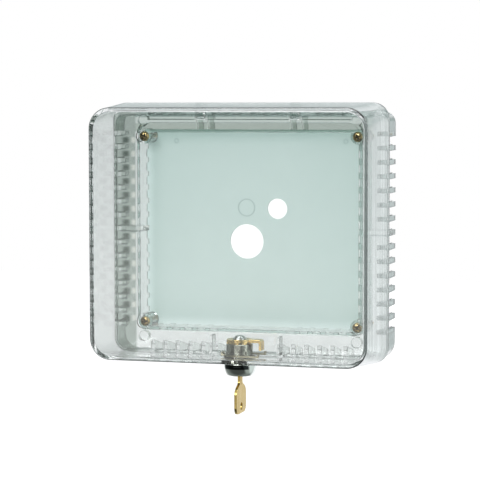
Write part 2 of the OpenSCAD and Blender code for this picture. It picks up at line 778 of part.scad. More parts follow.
// What the plug loses for one wafer: its slot, the room for its tab and its spring's hole
module wafer_slot() {
    half = wafer_t / 2 + slot_gap;
    half_w = wafer_w / 2 + wafer_side_gap;
    tab_x = wafer_tab_x + wafer_tab_w / 2 + wafer_side_gap;
    spring_top = wafer_tab_low + spring_wall;
    block([-half_w, -plug_r - over, -half], [half_w, plug_r + over, half]);
    block([0, -over, -half], [tab_x, wafer_tab_high + tab_room, half]);
    translate([wafer_tab_x, spring_top, 0]) rotate([90, 0, 0])
        cylinder(h = spring_top - spring_low, r = spring_r + wafer_side_gap);
}

// One wafer: a brass plate with a window for the blade and a tab for its spring
module wafer(i) color(brass_tint) at_lock() translate([0, 0, wafer_z(i) - wafer_t / 2]) difference() {
    intersection() {
        union() {
            block([-wafer_w / 2, -plug_r, 0], [wafer_w / 2, plug_r, wafer_t]);
            block([0, wafer_tab_low, 0], [wafer_tab_x + wafer_tab_w / 2, wafer_tab_high, wafer_t]);
        }
        bar_z(-over, wafer_t + over, wafer_end_r);
    }
    block([-keyway_half_t, -window_half, -over], [keyway_half_t, window_half, wafer_t + over]);
}

module wafer_spring(i) color(steel_tint) at_lock()
    translate([wafer_tab_x, wafer_tab_low, wafer_z(i)]) rotate([90, 0, 0]) difference() {
        bar_z(0, wafer_tab_low - spring_low, spring_r);
        bar_z(-over, wafer_tab_low - spring_low + over, spring_r - spring_wall);
    }

module stop_washer() color(brass_tint) at_lock() difference() {
    union() {
        bar_z(plug_top, plug_top + stop_t, stop_r);
        block([-stop_tab_r, -stop_tab_w / 2, plug_top], [0, stop_tab_w / 2, plug_top + stop_t]);
    }
    double_d(drive_r + drive_gap, drive_flat + drive_gap, plug_top - over, plug_top + stop_t + over);
}

module lock_cam() color(brass_tint) at_lock() difference() {
    union() {
        bar_z(cam_z, cam_top, cam_hub_r);
        block([0, -cam_arm_w / 2, cam_z], [cam_reach + hook_plate_t, cam_arm_w / 2, cam_top]);
        block([cam_reach, -cam_arm_w / 2, cam_z - cam_hook_drop],
              [cam_reach + hook_plate_t, cam_arm_w / 2, cam_top]);
    }
    double_d(drive_r + drive_gap, drive_flat + drive_gap, cam_z - over, cam_top + over);
}

module cam_washer() color(steel_tint) at_lock() difference() {
    bar_z(cam_top, cam_top + cam_washer_t, cam_washer_r);
    bar_z(cam_top - over, cam_top + cam_washer_t + over, cam_screw_r + keyway_gap);
}

module cam_screw() color(steel_tint) at_lock() difference() {
    head_z = cam_top + cam_washer_t;
    head_top = head_z + cam_screw_head_h;
    union() {
        bar_z(head_z, head_top, cam_screw_head_r);
        bar_z(drive_top - cam_screw_l, head_z + sink, cam_screw_r);
    }
    for (turn = [0, 90]) translate([0, 0, head_top]) rotate([0, 0, turn])
        cube([cam_screw_head_r * slot_share, slot_w, cam_screw_head_h + sink], center = true);
}

// A flat outline in the key's plane, where across is towards the wall, made solid about the key's middle
module key_slab(t) translate([-t / 2, 0, 0]) rotate([90, 0, 90]) linear_extrude(t) children();

module key_blade() key_slab(key_t)
    polygon([[-blade_half, shoulder_z - over], [blade_half, shoulder_z - over],
             [blade_half, tip_z - blade_tip_l], [blade_half - blade_tip_in, tip_z],
             [-blade_half + blade_tip_nib, tip_z], [-blade_half, tip_z - blade_tip_nib]]);

module key_bow() {
    half = bow_w / 2;
    widest_z = shoulder_z - bow_shoulder_l;
    bend_z = shoulder_z - bow_shoulder_l / 2;
    key_slab(key_t) polygon([
        [-blade_half, shoulder_z], [blade_half, shoulder_z], [half - bow_r / 2, bend_z], [half, widest_z],
        [half, bow_low + bow_r], [half - bow_r, bow_low], [-half + bow_r, bow_low],
        [-half, bow_low + bow_r], [-half, widest_z], [-half + bow_r / 2, bend_z]]);
    for (side = [-1, 1])
        bar_x(-key_t / 2, key_t / 2, side * (half - bow_r), bow_low + bow_r, bow_r);
}

// A flared cut in the blade's wall edge, as deep as its wafer's bitting
module key_cut(i) key_slab(2 * key_t) translate([blade_half, wafer_z(i)])
    polygon([[-bitting(i), -bit_flat], [-bitting(i), bit_flat],
             [over, bit_flat + over + bitting(i)], [over, -bit_flat - over - bitting(i)]]);

module key() color(brass_tint) at_lock() difference() {
    union() {
        key_blade();
        key_bow();
    }
    bar_x(-key_t, key_t, 0, bow_low + bow_hole_up, bow_hole_r);
    for (i = [0 : wafer_count - 1]) key_cut(i);
    for (side = [-1, 1]) translate([side * key_t / 2, key_groove_y, 0])
        block([-key_groove_t, -key_groove_w / 2, shoulder_z - over],
              [key_groove_t, key_groove_w / 2, tip_z + over]);
}

wallplate();
ring_end(-1);  // ring_left
ring_end(1);  // ring_right
ring_row(0, ring_top + over);
ring_row(ring_bottom - over, 0);
base_screws();
cover();
lock_housing();
lock_trim_cup();
lock_clip();
lock_plug();
wafer(0);  // wafer_1
wafer(1);  // wafer_2
wafer(2);  // wafer_3
wafer(3);  // wafer_4
wafer(4);  // wafer_5
wafer_spring(0);  // wafer_spring_1
wafer_spring(1);  // wafer_spring_2
wafer_spring(2);  // wafer_spring_3
wafer_spring(3);  // wafer_spring_4
wafer_spring(4);  // wafer_spring_5
stop_washer();
lock_cam();
cam_washer();
cam_screw();
key();
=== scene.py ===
"""Looks of a lockable wall guard for a thermostat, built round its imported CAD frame.

Pieces are drawn in millimetres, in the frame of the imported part, and become metres when they are finished:
+X right, +Y into the wall, +Z up, with the middle of the four wall screws as the origin.
"""

import logging
import math
from collections.abc import Callable, Sequence
from dataclasses import dataclass, replace
from enum import Enum

import bmesh
import bpy
from mathutils import Euler, Matrix, Vector


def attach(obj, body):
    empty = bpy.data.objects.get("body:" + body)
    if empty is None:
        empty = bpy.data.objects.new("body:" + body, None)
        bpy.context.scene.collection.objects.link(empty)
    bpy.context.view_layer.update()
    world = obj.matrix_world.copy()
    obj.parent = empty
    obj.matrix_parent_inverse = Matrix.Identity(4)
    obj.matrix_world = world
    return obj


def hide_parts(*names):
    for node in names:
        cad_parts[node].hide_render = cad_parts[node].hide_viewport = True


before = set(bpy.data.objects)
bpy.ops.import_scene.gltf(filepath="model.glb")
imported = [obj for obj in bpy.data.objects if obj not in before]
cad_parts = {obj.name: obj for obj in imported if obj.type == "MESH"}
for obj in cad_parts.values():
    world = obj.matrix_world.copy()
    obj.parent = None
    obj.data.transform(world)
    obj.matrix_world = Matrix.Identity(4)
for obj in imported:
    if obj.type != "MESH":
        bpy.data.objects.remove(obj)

log = logging.getLogger("guard")
MM = 0.001
NOISE_MIDDLE = (0.3, 0.7)  # most of a noise's values lie between these
DOUBLES = 1e-4  # points nearer than this are one
PAST = 1.0  # how far a cutting tool stands out past what it cuts
EDGE_SHARE = 0.3  # where the middle of a round edge lies, as a share of its radius
HAIR = 0.01  # how far a cut stays off a face, and how near a point lies to count as on it
Colour = tuple[float, float, float]
Point = tuple[float, float, float]
Range = tuple[float, float]
Stretch = tuple[float, float, float, float]
Outline = tuple[Range, ...]
Shades = tuple[tuple[float, float, Colour], ...]
Socket, Node, Material = bpy.types.NodeSocket, bpy.types.Node, bpy.types.Material


class Tree:
    """A node tree, with short calls for adding, joining and mixing."""

    def __init__(self, tree: bpy.types.NodeTree) -> None:
        """Empties the tree.

        Args:
            tree: The tree of a material or a world.
        """
        self.nodes, self.links = tree.nodes, tree.links
        self.nodes.clear()
        self.coords = self.add("TexCoord")

    def add(self, kind: str, **settings: object) -> Node:
        """Adds a node.

        Args:
            kind: The node's type without its ShaderNode prefix.
            **settings: Values for the node's own properties.

        Returns:
            The new node.
        """
        node = self.nodes.new("ShaderNode" + kind)
        for name, value in settings.items():
            setattr(node, name, value)
        return node

    def link(self, source: Socket | float | Colour, target: Socket) -> None:
        """Joins a socket to another, or sets a value or a colour on it.

        Args:
            source: The socket, value or colour.
            target: The socket that takes it.
        """
        if isinstance(source, Socket):
            self.links.new(source, target)
        elif isinstance(source, tuple):
            target.default_value = (*source, 1.0)
        else:
            target.default_value = source

    def math(self, operation: str, first: Socket | float,
             second: Socket | float = 0.0) -> Socket:
        """Adds a sum on one or two values.

        Args:
            operation: The Math node's operation.
            first: The first value.
            second: The second value.

        Returns:
            The result's socket.
        """
        node = self.add("Math", operation=operation)
        self.link(first, node.inputs[0])
        self.link(second, node.inputs[1])
        return node.outputs[0]

    def ranged(self, value: Socket, start: float, end: float, low: float = 0.0, high: float = 1.0,
               easing: str = "LINEAR") -> Socket:
        """Maps one range of a value to another, and holds it there.

        Args:
            value: The value's socket.
            start: The value that becomes low.
            end: The value that becomes high.
            low: What the start becomes.
            high: What the end becomes.
            easing: LINEAR or SMOOTHSTEP.

        Returns:
            The mapped value.
        """
        node = self.add("MapRange", interpolation_type=easing)
        for name, number in (("From Min", start), ("From Max", end), ("To Min", low), ("To Max", high)):
            node.inputs[name].default_value = number
        self.link(value, node.inputs["Value"])
        return node.outputs["Result"]

    def blend(self, value: Socket, dark: Colour | Socket,
              light: Colour | Socket) -> Socket:
        """Runs a value between two colours.

        Args:
            value: The socket that runs from 0 to 1.
            dark: The colour at 0.
            light: The colour at 1.

        Returns:
            The colour socket.
        """
        mix = self.add("Mix", data_type="RGBA")
        self.link(value, mix.inputs["Factor"])
        self.link(dark, mix.inputs["A"])
        self.link(light, mix.inputs["B"])
        return mix.outputs["Result"]

    def part(self, vector: Socket, axis: str) -> Socket:
        """One part of a vector.

        Args:
            vector: The vector's socket.
            axis: X, Y or Z.

        Returns:
            The part's socket.
        """
        split = self.add("SeparateXYZ")
        self.link(vector, split.inputs[0])
        return split.outputs[axis]

    def product(self, *values: Socket | float) -> Socket:
        """Multiplies values.

        Args:
            *values: The values, two or more.

        Returns:
            Their product's socket.
        """
        result = values[0]
        for value in values[1:]:
            result = self.math("MULTIPLY", result, value)
        return result

    def mix(self, share: Socket, first: Node, second: Node) -> Node:
        """Mixes two surfaces.

        Args:
            share: The second surface's share.
            first: The first surface's node.
            second: The second surface's node.

        Returns:
            The mixture's node.
        """
        node = self.add("MixShader")
        self.link(share, node.inputs["Fac"])
        for number, surface in enumerate((first, second), 1):
            self.link(surface.outputs[0], node.inputs[number])
        return node

    def rays(self, *kinds: str) -> Socket:
        """1 for rays of any of the named kinds, and 0 for all others.

        Args:
            *kinds: Camera, Shadow, Diffuse, Glossy or Transmission.

        Returns:
            The value's socket.
        """
        path = self.add("LightPath")
        value = path.outputs[f"Is {kinds[0]} Ray"]
        for kind in kinds[1:]:
            value = self.math("MAXIMUM", value, path.outputs[f"Is {kind} Ray"])
        return value


class Shader(Tree):
    """A material's node tree, with the textures that these finishes use."""

    def __init__(self, name: str) -> None:
        """Makes an empty material.

        Args:
            name: The material's name.
        """
        self.material = bpy.data.materials.new(name)
        self.material.use_nodes = True
        super().__init__(self.material.node_tree)
        self.output = self.add("OutputMaterial")

    def noise(self, scale: float, detail: float = 3.0, stretch: Point = (1.0, 1.0, 1.0)) -> Socket:
        """Adds a noise texture on the object's own coordinates.

        Args:
            scale: Lumps per metre.
            detail: Octaves of the noise.
            stretch: Scale along each axis, to draw the noise out.

        Returns:
            The noise's value socket.
        """
        mapping = self.add("Mapping")
        mapping.inputs["Scale"].default_value = stretch
        self.link(self.coords.outputs["Object"], mapping.inputs["Vector"])
        texture = self.add("TexNoise")
        texture.inputs["Scale"].default_value = scale
        texture.inputs["Detail"].default_value = detail
        self.link(mapping.outputs["Vector"], texture.inputs["Vector"])
        return texture.outputs["Fac"]

    def along(self, axis: str, start: float, end: float) -> Socket:
        """Runs from 0 at the start to 1 at the end, both in millimetres along one of the object's axes."""
        place = self.part(self.coords.outputs["Object"], axis)
        return self.ranged(place, start * MM, end * MM, easing="SMOOTHSTEP")

    def within(self, axis: str, near: float, full: float, fall: float, far: float) -> Socket:
        """Is 0 up to near along one of the object's axes, 1 from full to fall, and 0 from far on."""
        return self.product(self.along(axis, near, full), self.along(axis, far, fall))

    def spread(self, value: Socket, low: float, high: float) -> Socket:
        """Maps the middle of a noise to a range, and holds its dark and light parts there."""
        return self.ranged(value, *NOISE_MIDDLE, low, high)

    def bump(self, height: Socket, depth: float, strength: float) -> Socket:
        """Turns a height into a normal.

        Args:
            height: The socket of the height, from 0 to 1.
            depth: How deep the height's whole range is.
            strength: How much of it shows.

        Returns:
            The normal socket.
        """
        node = self.add("Bump")
        node.inputs["Strength"].default_value = strength
        node.inputs["Distance"].default_value = depth
        self.link(height, node.inputs["Height"])
        return node.outputs["Normal"]

    def finished(self, surface: Node) -> Material:
        """The material, with this surface on its output."""
        self.link(surface.outputs[0], self.output.inputs["Surface"])
        return self.material


@dataclass(frozen=True)
class ClearPlastic:
    """Clear moulded polycarbonate, a little grey-green and hazy, that lets the lamps through."""

    name: str
    tint: Colour
    far_tint: Colour
    haze: float
    haze_colour: Colour = (0.46, 0.5, 0.49)
    shade_tint: Colour = (0.86, 0.9, 0.89)
    ior: float = 1.585
    smooth: float = 0.0
    rough: float = 0.04
    cloud_scale: float = 90.0
    haze_spread: Range = (0.6, 1.4)
    flow_scale: float = 28.0
    flow_depth: float = 0.1 * MM
    flow_strength: float = 0.5

    def build(self) -> Material:
        """Makes the material.

        Returns:
            The material.
        """
        shader = Shader(self.name)
        body = shader.add("BsdfPrincipled")
        body.inputs["Transmission Weight"].default_value = 1.0
        body.inputs["IOR"].default_value = self.ior
        flow = shader.noise(self.flow_scale)
        cloud = shader.noise(self.cloud_scale)
        shader.link(self.colour(shader, flow), body.inputs["Base Color"])
        shader.link(shader.spread(cloud, self.smooth, self.rough), body.inputs["Roughness"])
        shader.link(shader.bump(flow, self.flow_depth, self.flow_strength), body.inputs["Normal"])
        haze = shader.add("BsdfTranslucent")
        shader.link(self.haze_colour, haze.inputs["Color"])
        cloudy = shader.mix(self.haziness(shader, cloud), body, haze)
        clear = shader.add("BsdfTransparent")
        shader.link(self.shade_tint, clear.inputs["Color"])
        return shader.finished(shader.mix(shader.rays("Shadow", "Diffuse"), cloudy, clear))

    def colour(self, shader: Shader, flow: Socket) -> Socket:
        """The plastic's colour."""
        return shader.blend(flow, self.tint, self.far_tint)

    def haziness(self, shader: Shader, cloud: Socket) -> Socket:
        """How hazy the plastic is."""
        return shader.spread(cloud, *(share * self.haze for share in self.haze_spread))


@dataclass(frozen=True)
class CoverPlastic(ClearPlastic):
    """The cover's plastic, with painted shade and faint upright streaks of haze, painted reflection streaks,
    in its right side wall.
    """

    # Painted shade on the right side wall.
    side_painted_light_and_shade: Colour = (0.9, 0.945, 0.935)
    side_edge: Range = (97.0, 98.5)
    # Upright streaks of haze in the right side wall: painted reflection streaks.
    line_scale: float = 330.0
    line_stretch: Point = (0.0, 1.0, 0.012)
    line_haze: Range = (0.0, 0.3)

    def colour(self, shader: Shader, flow: Socket) -> Socket:
        """The plastic's colour, with painted shade that makes its right side wall a little darker."""
        # Painted shade darkens the right side wall.
        return shader.blend(shader.along("X", *self.side_edge), super().colour(shader, flow), self.side_painted_light_and_shade)

    def haziness(self, shader: Shader, cloud: Socket) -> Socket:
        """How hazy the plastic is, with its painted reflection streaks.

        Args:
            shader: The material's tree.
            cloud: The noise of its clouds.

        Returns:
            The share of haze.
        """
        lines = shader.spread(shader.noise(self.line_scale, stretch=self.line_stretch), *self.line_haze)
        side = shader.product(lines, shader.along("X", *self.side_edge))
        return shader.math("MAXIMUM", super().haziness(shader, cloud), side)


@dataclass(frozen=True)
class RingPlastic(ClearPlastic):
    """The ring's plastic, with painted shade in its left channel, top row and right outer wall, and painted
    light at its right end.
    """

    # Painted shade over the left channel.
    left_painted_shade: Colour = (0.42, 0.48, 0.44)
    left_places: Stretch = (-83.6, -85.5, -99.6, -100.6)
    # Painted shade in the pockets between the left ribs, and a painted glint beside each pocket.
    pocket_painted_shade: Colour = (0.1, 0.13, 0.11)
    pocket_places: Stretch = (-96.5, -92.6, -91.4, -88.2)
    painted_glint: Colour = (0.72, 0.75, 0.69)
    glint_places: Stretch = (-89.2, -86.4, -85.4, -84.4)
    pocket_pitch: float = 10.0
    pocket_row: Range = (71.0, 70.0)
    pocket_wave: Range = (0.4, -0.95)
    # Painted light at the right end, where the ribs fade, and painted shade on the right outer wall's teeth.
    right_painted_shades: Shades = (
        (87.0, 90.0, (0.98, 0.99, 0.985)), (101.0, 102.4, (0.1, 0.16, 0.145)))
    # Painted shade in bands along the top row, lighter in the middle band.
    top_painted_shades: Shades = (
        (70.6, 72.0, (0.49, 0.55, 0.5)), (76.8, 77.6, (0.68, 0.74, 0.7)), (81.0, 82.0, (0.38, 0.46, 0.43)))

    def colour(self, shader: Shader, flow: Socket) -> Socket:
        """The plastic's colour, with its painted shade and painted light.

        Args:
            shader: The material's tree.
            flow: The slow noise of its moulding.

        Returns:
            The colour socket.
        """
        colour = super().colour(shader, flow)
        # Painted shade in bands along the top, then over the left channel.
        for start, end, shade in self.top_painted_shades:
            colour = shader.blend(shader.along("Z", start, end), colour, shade)
        colour = shader.blend(shader.within("X", *self.left_places), colour, self.left_painted_shade)
        # Painted light at the right end, then painted shade on the right outer wall.
        for start, end, shade in self.right_painted_shades:
            colour = shader.blend(shader.along("X", start, end), colour, shade)
        # Painted shade in the pockets between the side ribs, and painted glints beside them.
        row = self.pockets(shader)
        for places, shade in ((self.pocket_places, self.pocket_painted_shade), (self.glint_places, self.painted_glint)):
            colour = shader.blend(shader.product(shader.within("X", *places), row), colour, shade)
        return colour

    def pockets(self, shader: Shader) -> Socket:
        """The places between the side ribs, where the channel's pockets gather shade.

        Args:
            shader: The material's tree.

        Returns:
            A value that is 1 between two ribs and 0 at a rib.
        """
        height = shader.part(shader.coords.outputs["Object"], "Z")
        wave = shader.math("COSINE", shader.product(height, math.tau / (self.pocket_pitch * MM)))
        row = shader.ranged(shader.math("ABSOLUTE", height), *(place * MM for place in self.pocket_row))
        return shader.product(row, shader.ranged(wave, *self.pocket_wave, easing="SMOOTHSTEP"))


@dataclass(frozen=True)
class SatinPlastic:
    """Opaque moulded plastic with a fine spark-eroded grain."""

    name: str
    dark: Colour
    light: Colour
    smooth: float = 0.38
    rough: float = 0.55
    cloud_scale: float = 14.0
    grain_scale: float = 2600.0
    grain_detail: float = 1.0
    grain_depth: float = 0.05 * MM
    grain_strength: float = 0.25

    def build(self) -> Material:
        """Makes the material.

        Returns:
            The material.
        """
        shader = Shader(self.name)
        body = shader.add("BsdfPrincipled")
        cloud = shader.noise(self.cloud_scale)
        grain = shader.noise(self.grain_scale, self.grain_detail)
        shader.link(self.colour(shader, cloud), body.inputs["Base Color"])
        shader.link(shader.spread(grain, self.smooth, self.rough), body.inputs["Roughness"])
        shader.link(shader.bump(grain, self.grain_depth, self.grain_strength), body.inputs["Normal"])
        return shader.finished(body)

    def colour(self, shader: Shader, cloud: Socket) -> Socket:
        """The plastic's colour."""
        return shader.blend(cloud, self.dark, self.light)


@dataclass(frozen=True)
class PlatePlastic(SatinPlastic):
    """The wall plate's plastic, paler near its left and bottom edges, where more light comes in."""

    pale: Colour = (0.83, 0.87, 0.875)
    left_fade: Range = (-75.5, -82.5)
    low_fade: Range = (-63.0, -73.0)

    def colour(self, shader: Shader, cloud: Socket) -> Socket:
        """The plate's colour, with its paler edges."""
        near = shader.math("MAXIMUM", shader.along("X", *self.left_fade), shader.along("Z", *self.low_fade))
        return shader.blend(near, super().colour(shader, cloud), self.pale)


@dataclass(frozen=True)
class Metal:
    """A metal with fine scratches and handled patches."""

    name: str
    dark: Colour
    light: Colour
    smooth: float
    rough: float
    scratch_scale: float = 700.0
    scratch_stretch: Point = (1.0, 1.0, 0.08)
    scratch_depth: float = 0.02 * MM
    scratch_strength: float = 0.3
    patch_scale: float = 160.0

    def build(self) -> Material:
        """Makes the material.

        Returns:
            The material.
        """
        shader = Shader(self.name)
        body = shader.add("BsdfPrincipled")
        body.inputs["Metallic"].default_value = 1.0
        patches = shader.noise(self.patch_scale)
        scratches = shader.noise(self.scratch_scale, stretch=self.scratch_stretch)
        shader.link(self.colour(shader, patches), body.inputs["Base Color"])
        shader.link(shader.spread(scratches, self.smooth, self.rough), body.inputs["Roughness"])
        shader.link(shader.bump(scratches, self.scratch_depth, self.scratch_strength), body.inputs["Normal"])
        return shader.finished(body)

    def colour(self, shader: Shader, patches: Socket) -> Socket:
        """The metal's colour."""
        return shader.blend(patches, self.dark, self.light)


@dataclass(frozen=True)
class CupChrome(Metal):
    """The cup's chrome, with painted shade in a band under its rim and a painted reflection that lightens its
    two sides.
    """

    # Painted shade in a band under the rim.
    band_painted_shade: Colour = (0.03, 0.035, 0.035)
    band_places: Stretch = (-92.5, -93.1, -95.5, -96.2)
    # Painted reflection, lighter, at the two sides.
    side_painted_light_and_shade: Colour = (0.95, 0.98, 0.96)
    side_edge: Range = (8.2, 9.6)

    def colour(self, shader: Shader, patches: Socket) -> Socket:
        """The metal's colour, with its band of painted shade and its sides lightened by a painted reflection.

        Args:
            shader: The material's tree.
            patches: The noise of its patches.

        Returns:
            The colour socket.
        """
        # Painted shade under the rim, then a painted reflection at each side.
        band = shader.within("Z", *self.band_places)
        colour = shader.blend(band, super().colour(shader, patches), self.band_painted_shade)
        for sign in (-1, 1):
            side = shader.along("X", *(sign * place for place in self.side_edge))
            colour = shader.blend(side, colour, self.side_painted_light_and_shade)
        return colour


class Finish(Enum):
    """The finishes of the guard's pieces."""

    CLEAR = CoverPlastic("clear_cover_plastic", (0.965, 0.98, 0.975), (0.975, 0.985, 0.985), 0.01)
    RING = RingPlastic("clear_ring_plastic", (0.83, 0.865, 0.845), (0.87, 0.895, 0.885), 0.05, rough=0.1)
    PLATE = PlatePlastic("pale_plate", (0.57, 0.65, 0.635), (0.62, 0.685, 0.67))
    # Painted shade in the grooves of the pressed marks on the plate.
    MARK = SatinPlastic("pressed_mark_painted_shade", (0.44, 0.52, 0.51), (0.48, 0.56, 0.55))
    SCREW = Metal("yellow_zinc", (0.09, 0.065, 0.03), (0.7, 0.54, 0.26), 0.1, 0.25, patch_scale=700.0)
    # Painted shade inside the screws' cross recesses.
    RECESS = Metal("recess_painted_shade", (0.02, 0.018, 0.014), (0.1, 0.075, 0.035), 0.3, 0.5)
    CHROME = Metal("chrome", (0.05, 0.055, 0.04), (0.56, 0.57, 0.5), 0.05, 0.18, patch_scale=300.0)
    CUP = CupChrome("cup_chrome", (0.38, 0.4, 0.37), (0.6, 0.62, 0.58), 0.06, 0.2)
    SPRING = Metal("oiled_spring_steel", (0.2, 0.18, 0.12), (0.4, 0.37, 0.28), 0.25, 0.45)
    BRASS = Metal("rolled_brass", (0.62, 0.43, 0.16), (0.82, 0.62, 0.3), 0.14, 0.3)
    STEEL = Metal("zinc_steel", (0.36, 0.38, 0.37), (0.54, 0.56, 0.55), 0.2, 0.38)
    KEY = Metal("handled_key_brass", (0.54, 0.385, 0.115), (0.72, 0.55, 0.21), 0.2, 0.4)

    def material(self) -> Material:
        """The finish's material, made at its first use."""
        return bpy.data.materials.get(self.value.name) or self.value.build()


@dataclass(frozen=True)
class Lamp:
    """A soft rectangular lamp that faces the object, with its size in metres and its power in watts."""

    name: str
    place: Point
    size: Range
    power: float

    def build(self) -> None:
        """Makes the lamp."""
        data = bpy.data.lights.new(self.name, "AREA")
        data.shape = "RECTANGLE"
        data.size, data.size_y = self.size
        data.energy = self.power
        lamp = bpy.data.objects.new(self.name, data)
        lamp.location = self.place
        lamp.rotation_euler = Vector(self.place).to_track_quat("Z", "Y").to_euler()
        bpy.context.collection.objects.link(lamp)


@dataclass
class Studio:
    """The camera, the lamps, the floor and the surround: a white backdrop behind the object in a dim room."""

    camera_at: Point = (380.9 * MM, -1357.7 * MM, 95.4 * MM)
    camera_turn_deg: Point = (85.81, 0.08, 16.15)
    lens_mm: float = 145.6
    sensor_mm: float = 36.0
    floor_z: float = -420 * MM
    floor_half: float = 4.0
    floor_shade: float = 0.6
    white: Colour = (1.0, 1.0, 1.0)
    bounces: int = 32
    lamps: tuple[Lamp, ...] = (Lamp("key_lamp", (-0.35, -1.7, 0.75), (1.1, 0.8), 16.0),
                               Lamp("right_lamp", (1.5, -0.55, 0.5), (0.7, 1.2), 9.0),
                               Lamp("top_lamp", (0.1, -0.2, 1.4), (1.2, 0.8), 10.0))
    backdrop: Colour = (0.97, 0.985, 1.0)
    backdrop_high: Colour = (0.56, 0.62, 0.62)
    backdrop_deg: Range = (62.0, 46.0)
    backdrop_turn_deg: float = -6.0
    fade_up: Range = (0.04, 0.11)
    glow: Colour = (1.2, 1.2, 1.2)
    glow_deg: Range = (2.7, 1.9)
    room: Colour = (0.34, 0.38, 0.37)
    room_front: Colour = (0.1, 0.11, 0.105)
    front_side: Range = (0.1, -0.5)
    room_right: Colour = (0.62, 0.68, 0.66)
    right_side: Range = (0.55, 0.75)
    ceiling: Colour = (0.5, 0.53, 0.54)
    ceiling_side: Range = (0.55, 0.8)
    fill: Colour = (0.78, 0.785, 0.79)
    card: Colour = (1.0, 0.99, 0.96)
    card_across: Range = (-0.52, 0.34)
    card_up: Range = (-0.25, -0.06)
    card_soft: Range = (0.03, 0.04)

    def build(self) -> None:
        """Makes the camera, the world, the floor and the lamps."""
        self.camera()
        self.world()
        self.floor()
        for lamp in self.lamps:
            lamp.build()
        scene = bpy.context.scene
        scene.view_settings.view_transform = "Standard"
        scene.cycles.max_bounces = scene.cycles.transmission_bounces = self.bounces
        scene.cycles.transparent_max_bounces = self.bounces

    def camera(self) -> None:
        """Places the camera where the fitted view has it."""
        data = bpy.data.cameras.new("camera")
        data.lens = self.lens_mm
        data.sensor_width = self.sensor_mm
        data.sensor_fit = "HORIZONTAL"
        camera = bpy.data.objects.new("camera", data)
        camera.location = self.camera_at
        camera.rotation_euler = Euler([math.radians(angle) for angle in self.camera_turn_deg])
        bpy.context.collection.objects.link(camera)
        bpy.context.scene.camera = camera

    def ahead(self) -> Vector:
        """The direction in which the camera looks at rest."""
        return Euler([math.radians(angle) for angle in self.camera_turn_deg]).to_matrix() @ Vector((0, 0, -1))

    def around(self, tree: Tree) -> Socket:
        """The surround that mirrors and clear plastic see: the backdrop, the dim room and its bright ceiling.

        Args:
            tree: The tree of the world, whose Generated coordinates are the direction looked in.

        Returns:
            The colour socket.
        """
        direction = tree.coords.outputs["Generated"]
        across, deep, up = (tree.part(direction, axis) for axis in "XYZ")
        front = tree.ranged(deep, *self.front_side, easing="SMOOTHSTEP")
        colour = tree.blend(tree.product(front, tree.rays("Glossy")), self.room, self.room_front)
        for place, edges, light in ((across, self.right_side, self.room_right),
                                    (up, self.ceiling_side, self.ceiling)):
            colour = tree.blend(tree.ranged(place, *edges, easing="SMOOTHSTEP"), colour, light)
        card = front
        for place, (low, high), soft in zip((across, up), (self.card_across, self.card_up), self.card_soft):
            card = tree.product(card, tree.ranged(place, low - soft, low + soft),
                                tree.ranged(place, high + soft, high - soft))
        colour = tree.blend(card, colour, self.card)
        high = tree.ranged(up, *self.fade_up, easing="SMOOTHSTEP")
        backdrop = tree.blend(high, self.backdrop, self.backdrop_high)
        ahead = self.ahead()
        beside = Matrix.Rotation(math.radians(self.backdrop_turn_deg), 3, "Z") @ ahead
        for axis, edges, light in ((beside, self.backdrop_deg, backdrop), (ahead, self.glow_deg, self.glow)):
            along = tree.add("VectorMath", operation="DOT_PRODUCT")
            tree.link(direction, along.inputs[0])
            along.inputs[1].default_value = axis
            near = tree.ranged(along.outputs["Value"], *(math.cos(math.radians(angle)) for angle in edges),
                               easing="SMOOTHSTEP")
            colour = tree.blend(near, colour, light)
        return colour

    def world(self) -> None:
        """Makes the world: white to the camera, an even fill for matt surfaces, the surround for others."""
        world = bpy.data.worlds.new("surround")
        bpy.context.scene.world = world
        world.use_nodes = True
        tree = Tree(world.node_tree)
        seen = tree.blend(tree.rays("Diffuse"), self.around(tree), self.fill)
        seen = tree.blend(tree.rays("Camera"), seen, self.white)
        background = tree.add("Background")
        tree.link(seen, background.inputs["Color"])
        output = tree.add("OutputWorld")
        tree.link(background.outputs[0], output.inputs["Surface"])

    def floor(self) -> None:
        """Lays a plain pale floor below the object, white to the camera."""
        mesh = bpy.data.meshes.new("floor")
        shape = bmesh.new()
        bmesh.ops.create_grid(shape, x_segments=1, y_segments=1, size=self.floor_half,
                              matrix=Matrix.Translation((0, 0, self.floor_z)))
        shape.to_mesh(mesh)
        shape.free()
        floor = bpy.data.objects.new("floor", mesh)
        bpy.context.collection.objects.link(floor)
        shader = Shader("pale_floor")
        diffuse = shader.add("BsdfDiffuse")
        shader.link((self.floor_shade,) * 3, diffuse.inputs["Color"])
        glow = shader.add("Emission")
        shader.link(shader.product(shader.rays("Camera"), self.floor_shade), glow.inputs["Strength"])
        both = shader.add("AddShader")
        for number, surface in enumerate((diffuse, glow)):
            shader.link(surface.outputs[0], both.inputs[number])
        unseen = shader.rays("Transmission", "Glossy")
        mesh.materials.append(shader.finished(shader.mix(unseen, both, shader.add("BsdfTransparent"))))


@dataclass(frozen=True)
class Band:
    """A rectangle with round corners, square to the wall, that a shell passes through."""

    y: float
    half_w: float
    low: float
    high: float
    low_r: float
    high_r: float

    def inset(self, gap: float, y: float | None = None) -> "Band":
        """The band set in all round, and moved to another depth if one is given."""
        return Band(self.y if y is None else y, self.half_w - gap, self.low + gap, self.high - gap,
                    max(self.low_r - gap, 0.1), max(self.high_r - gap, 0.1))


def round_edge(radius: float) -> list[Range]:
    """A round edge in three points, each a step in from the side and a step back from the face."""
    near = EDGE_SHARE * radius
    return [(0.0, radius), (near, near), (radius, 0.0)]


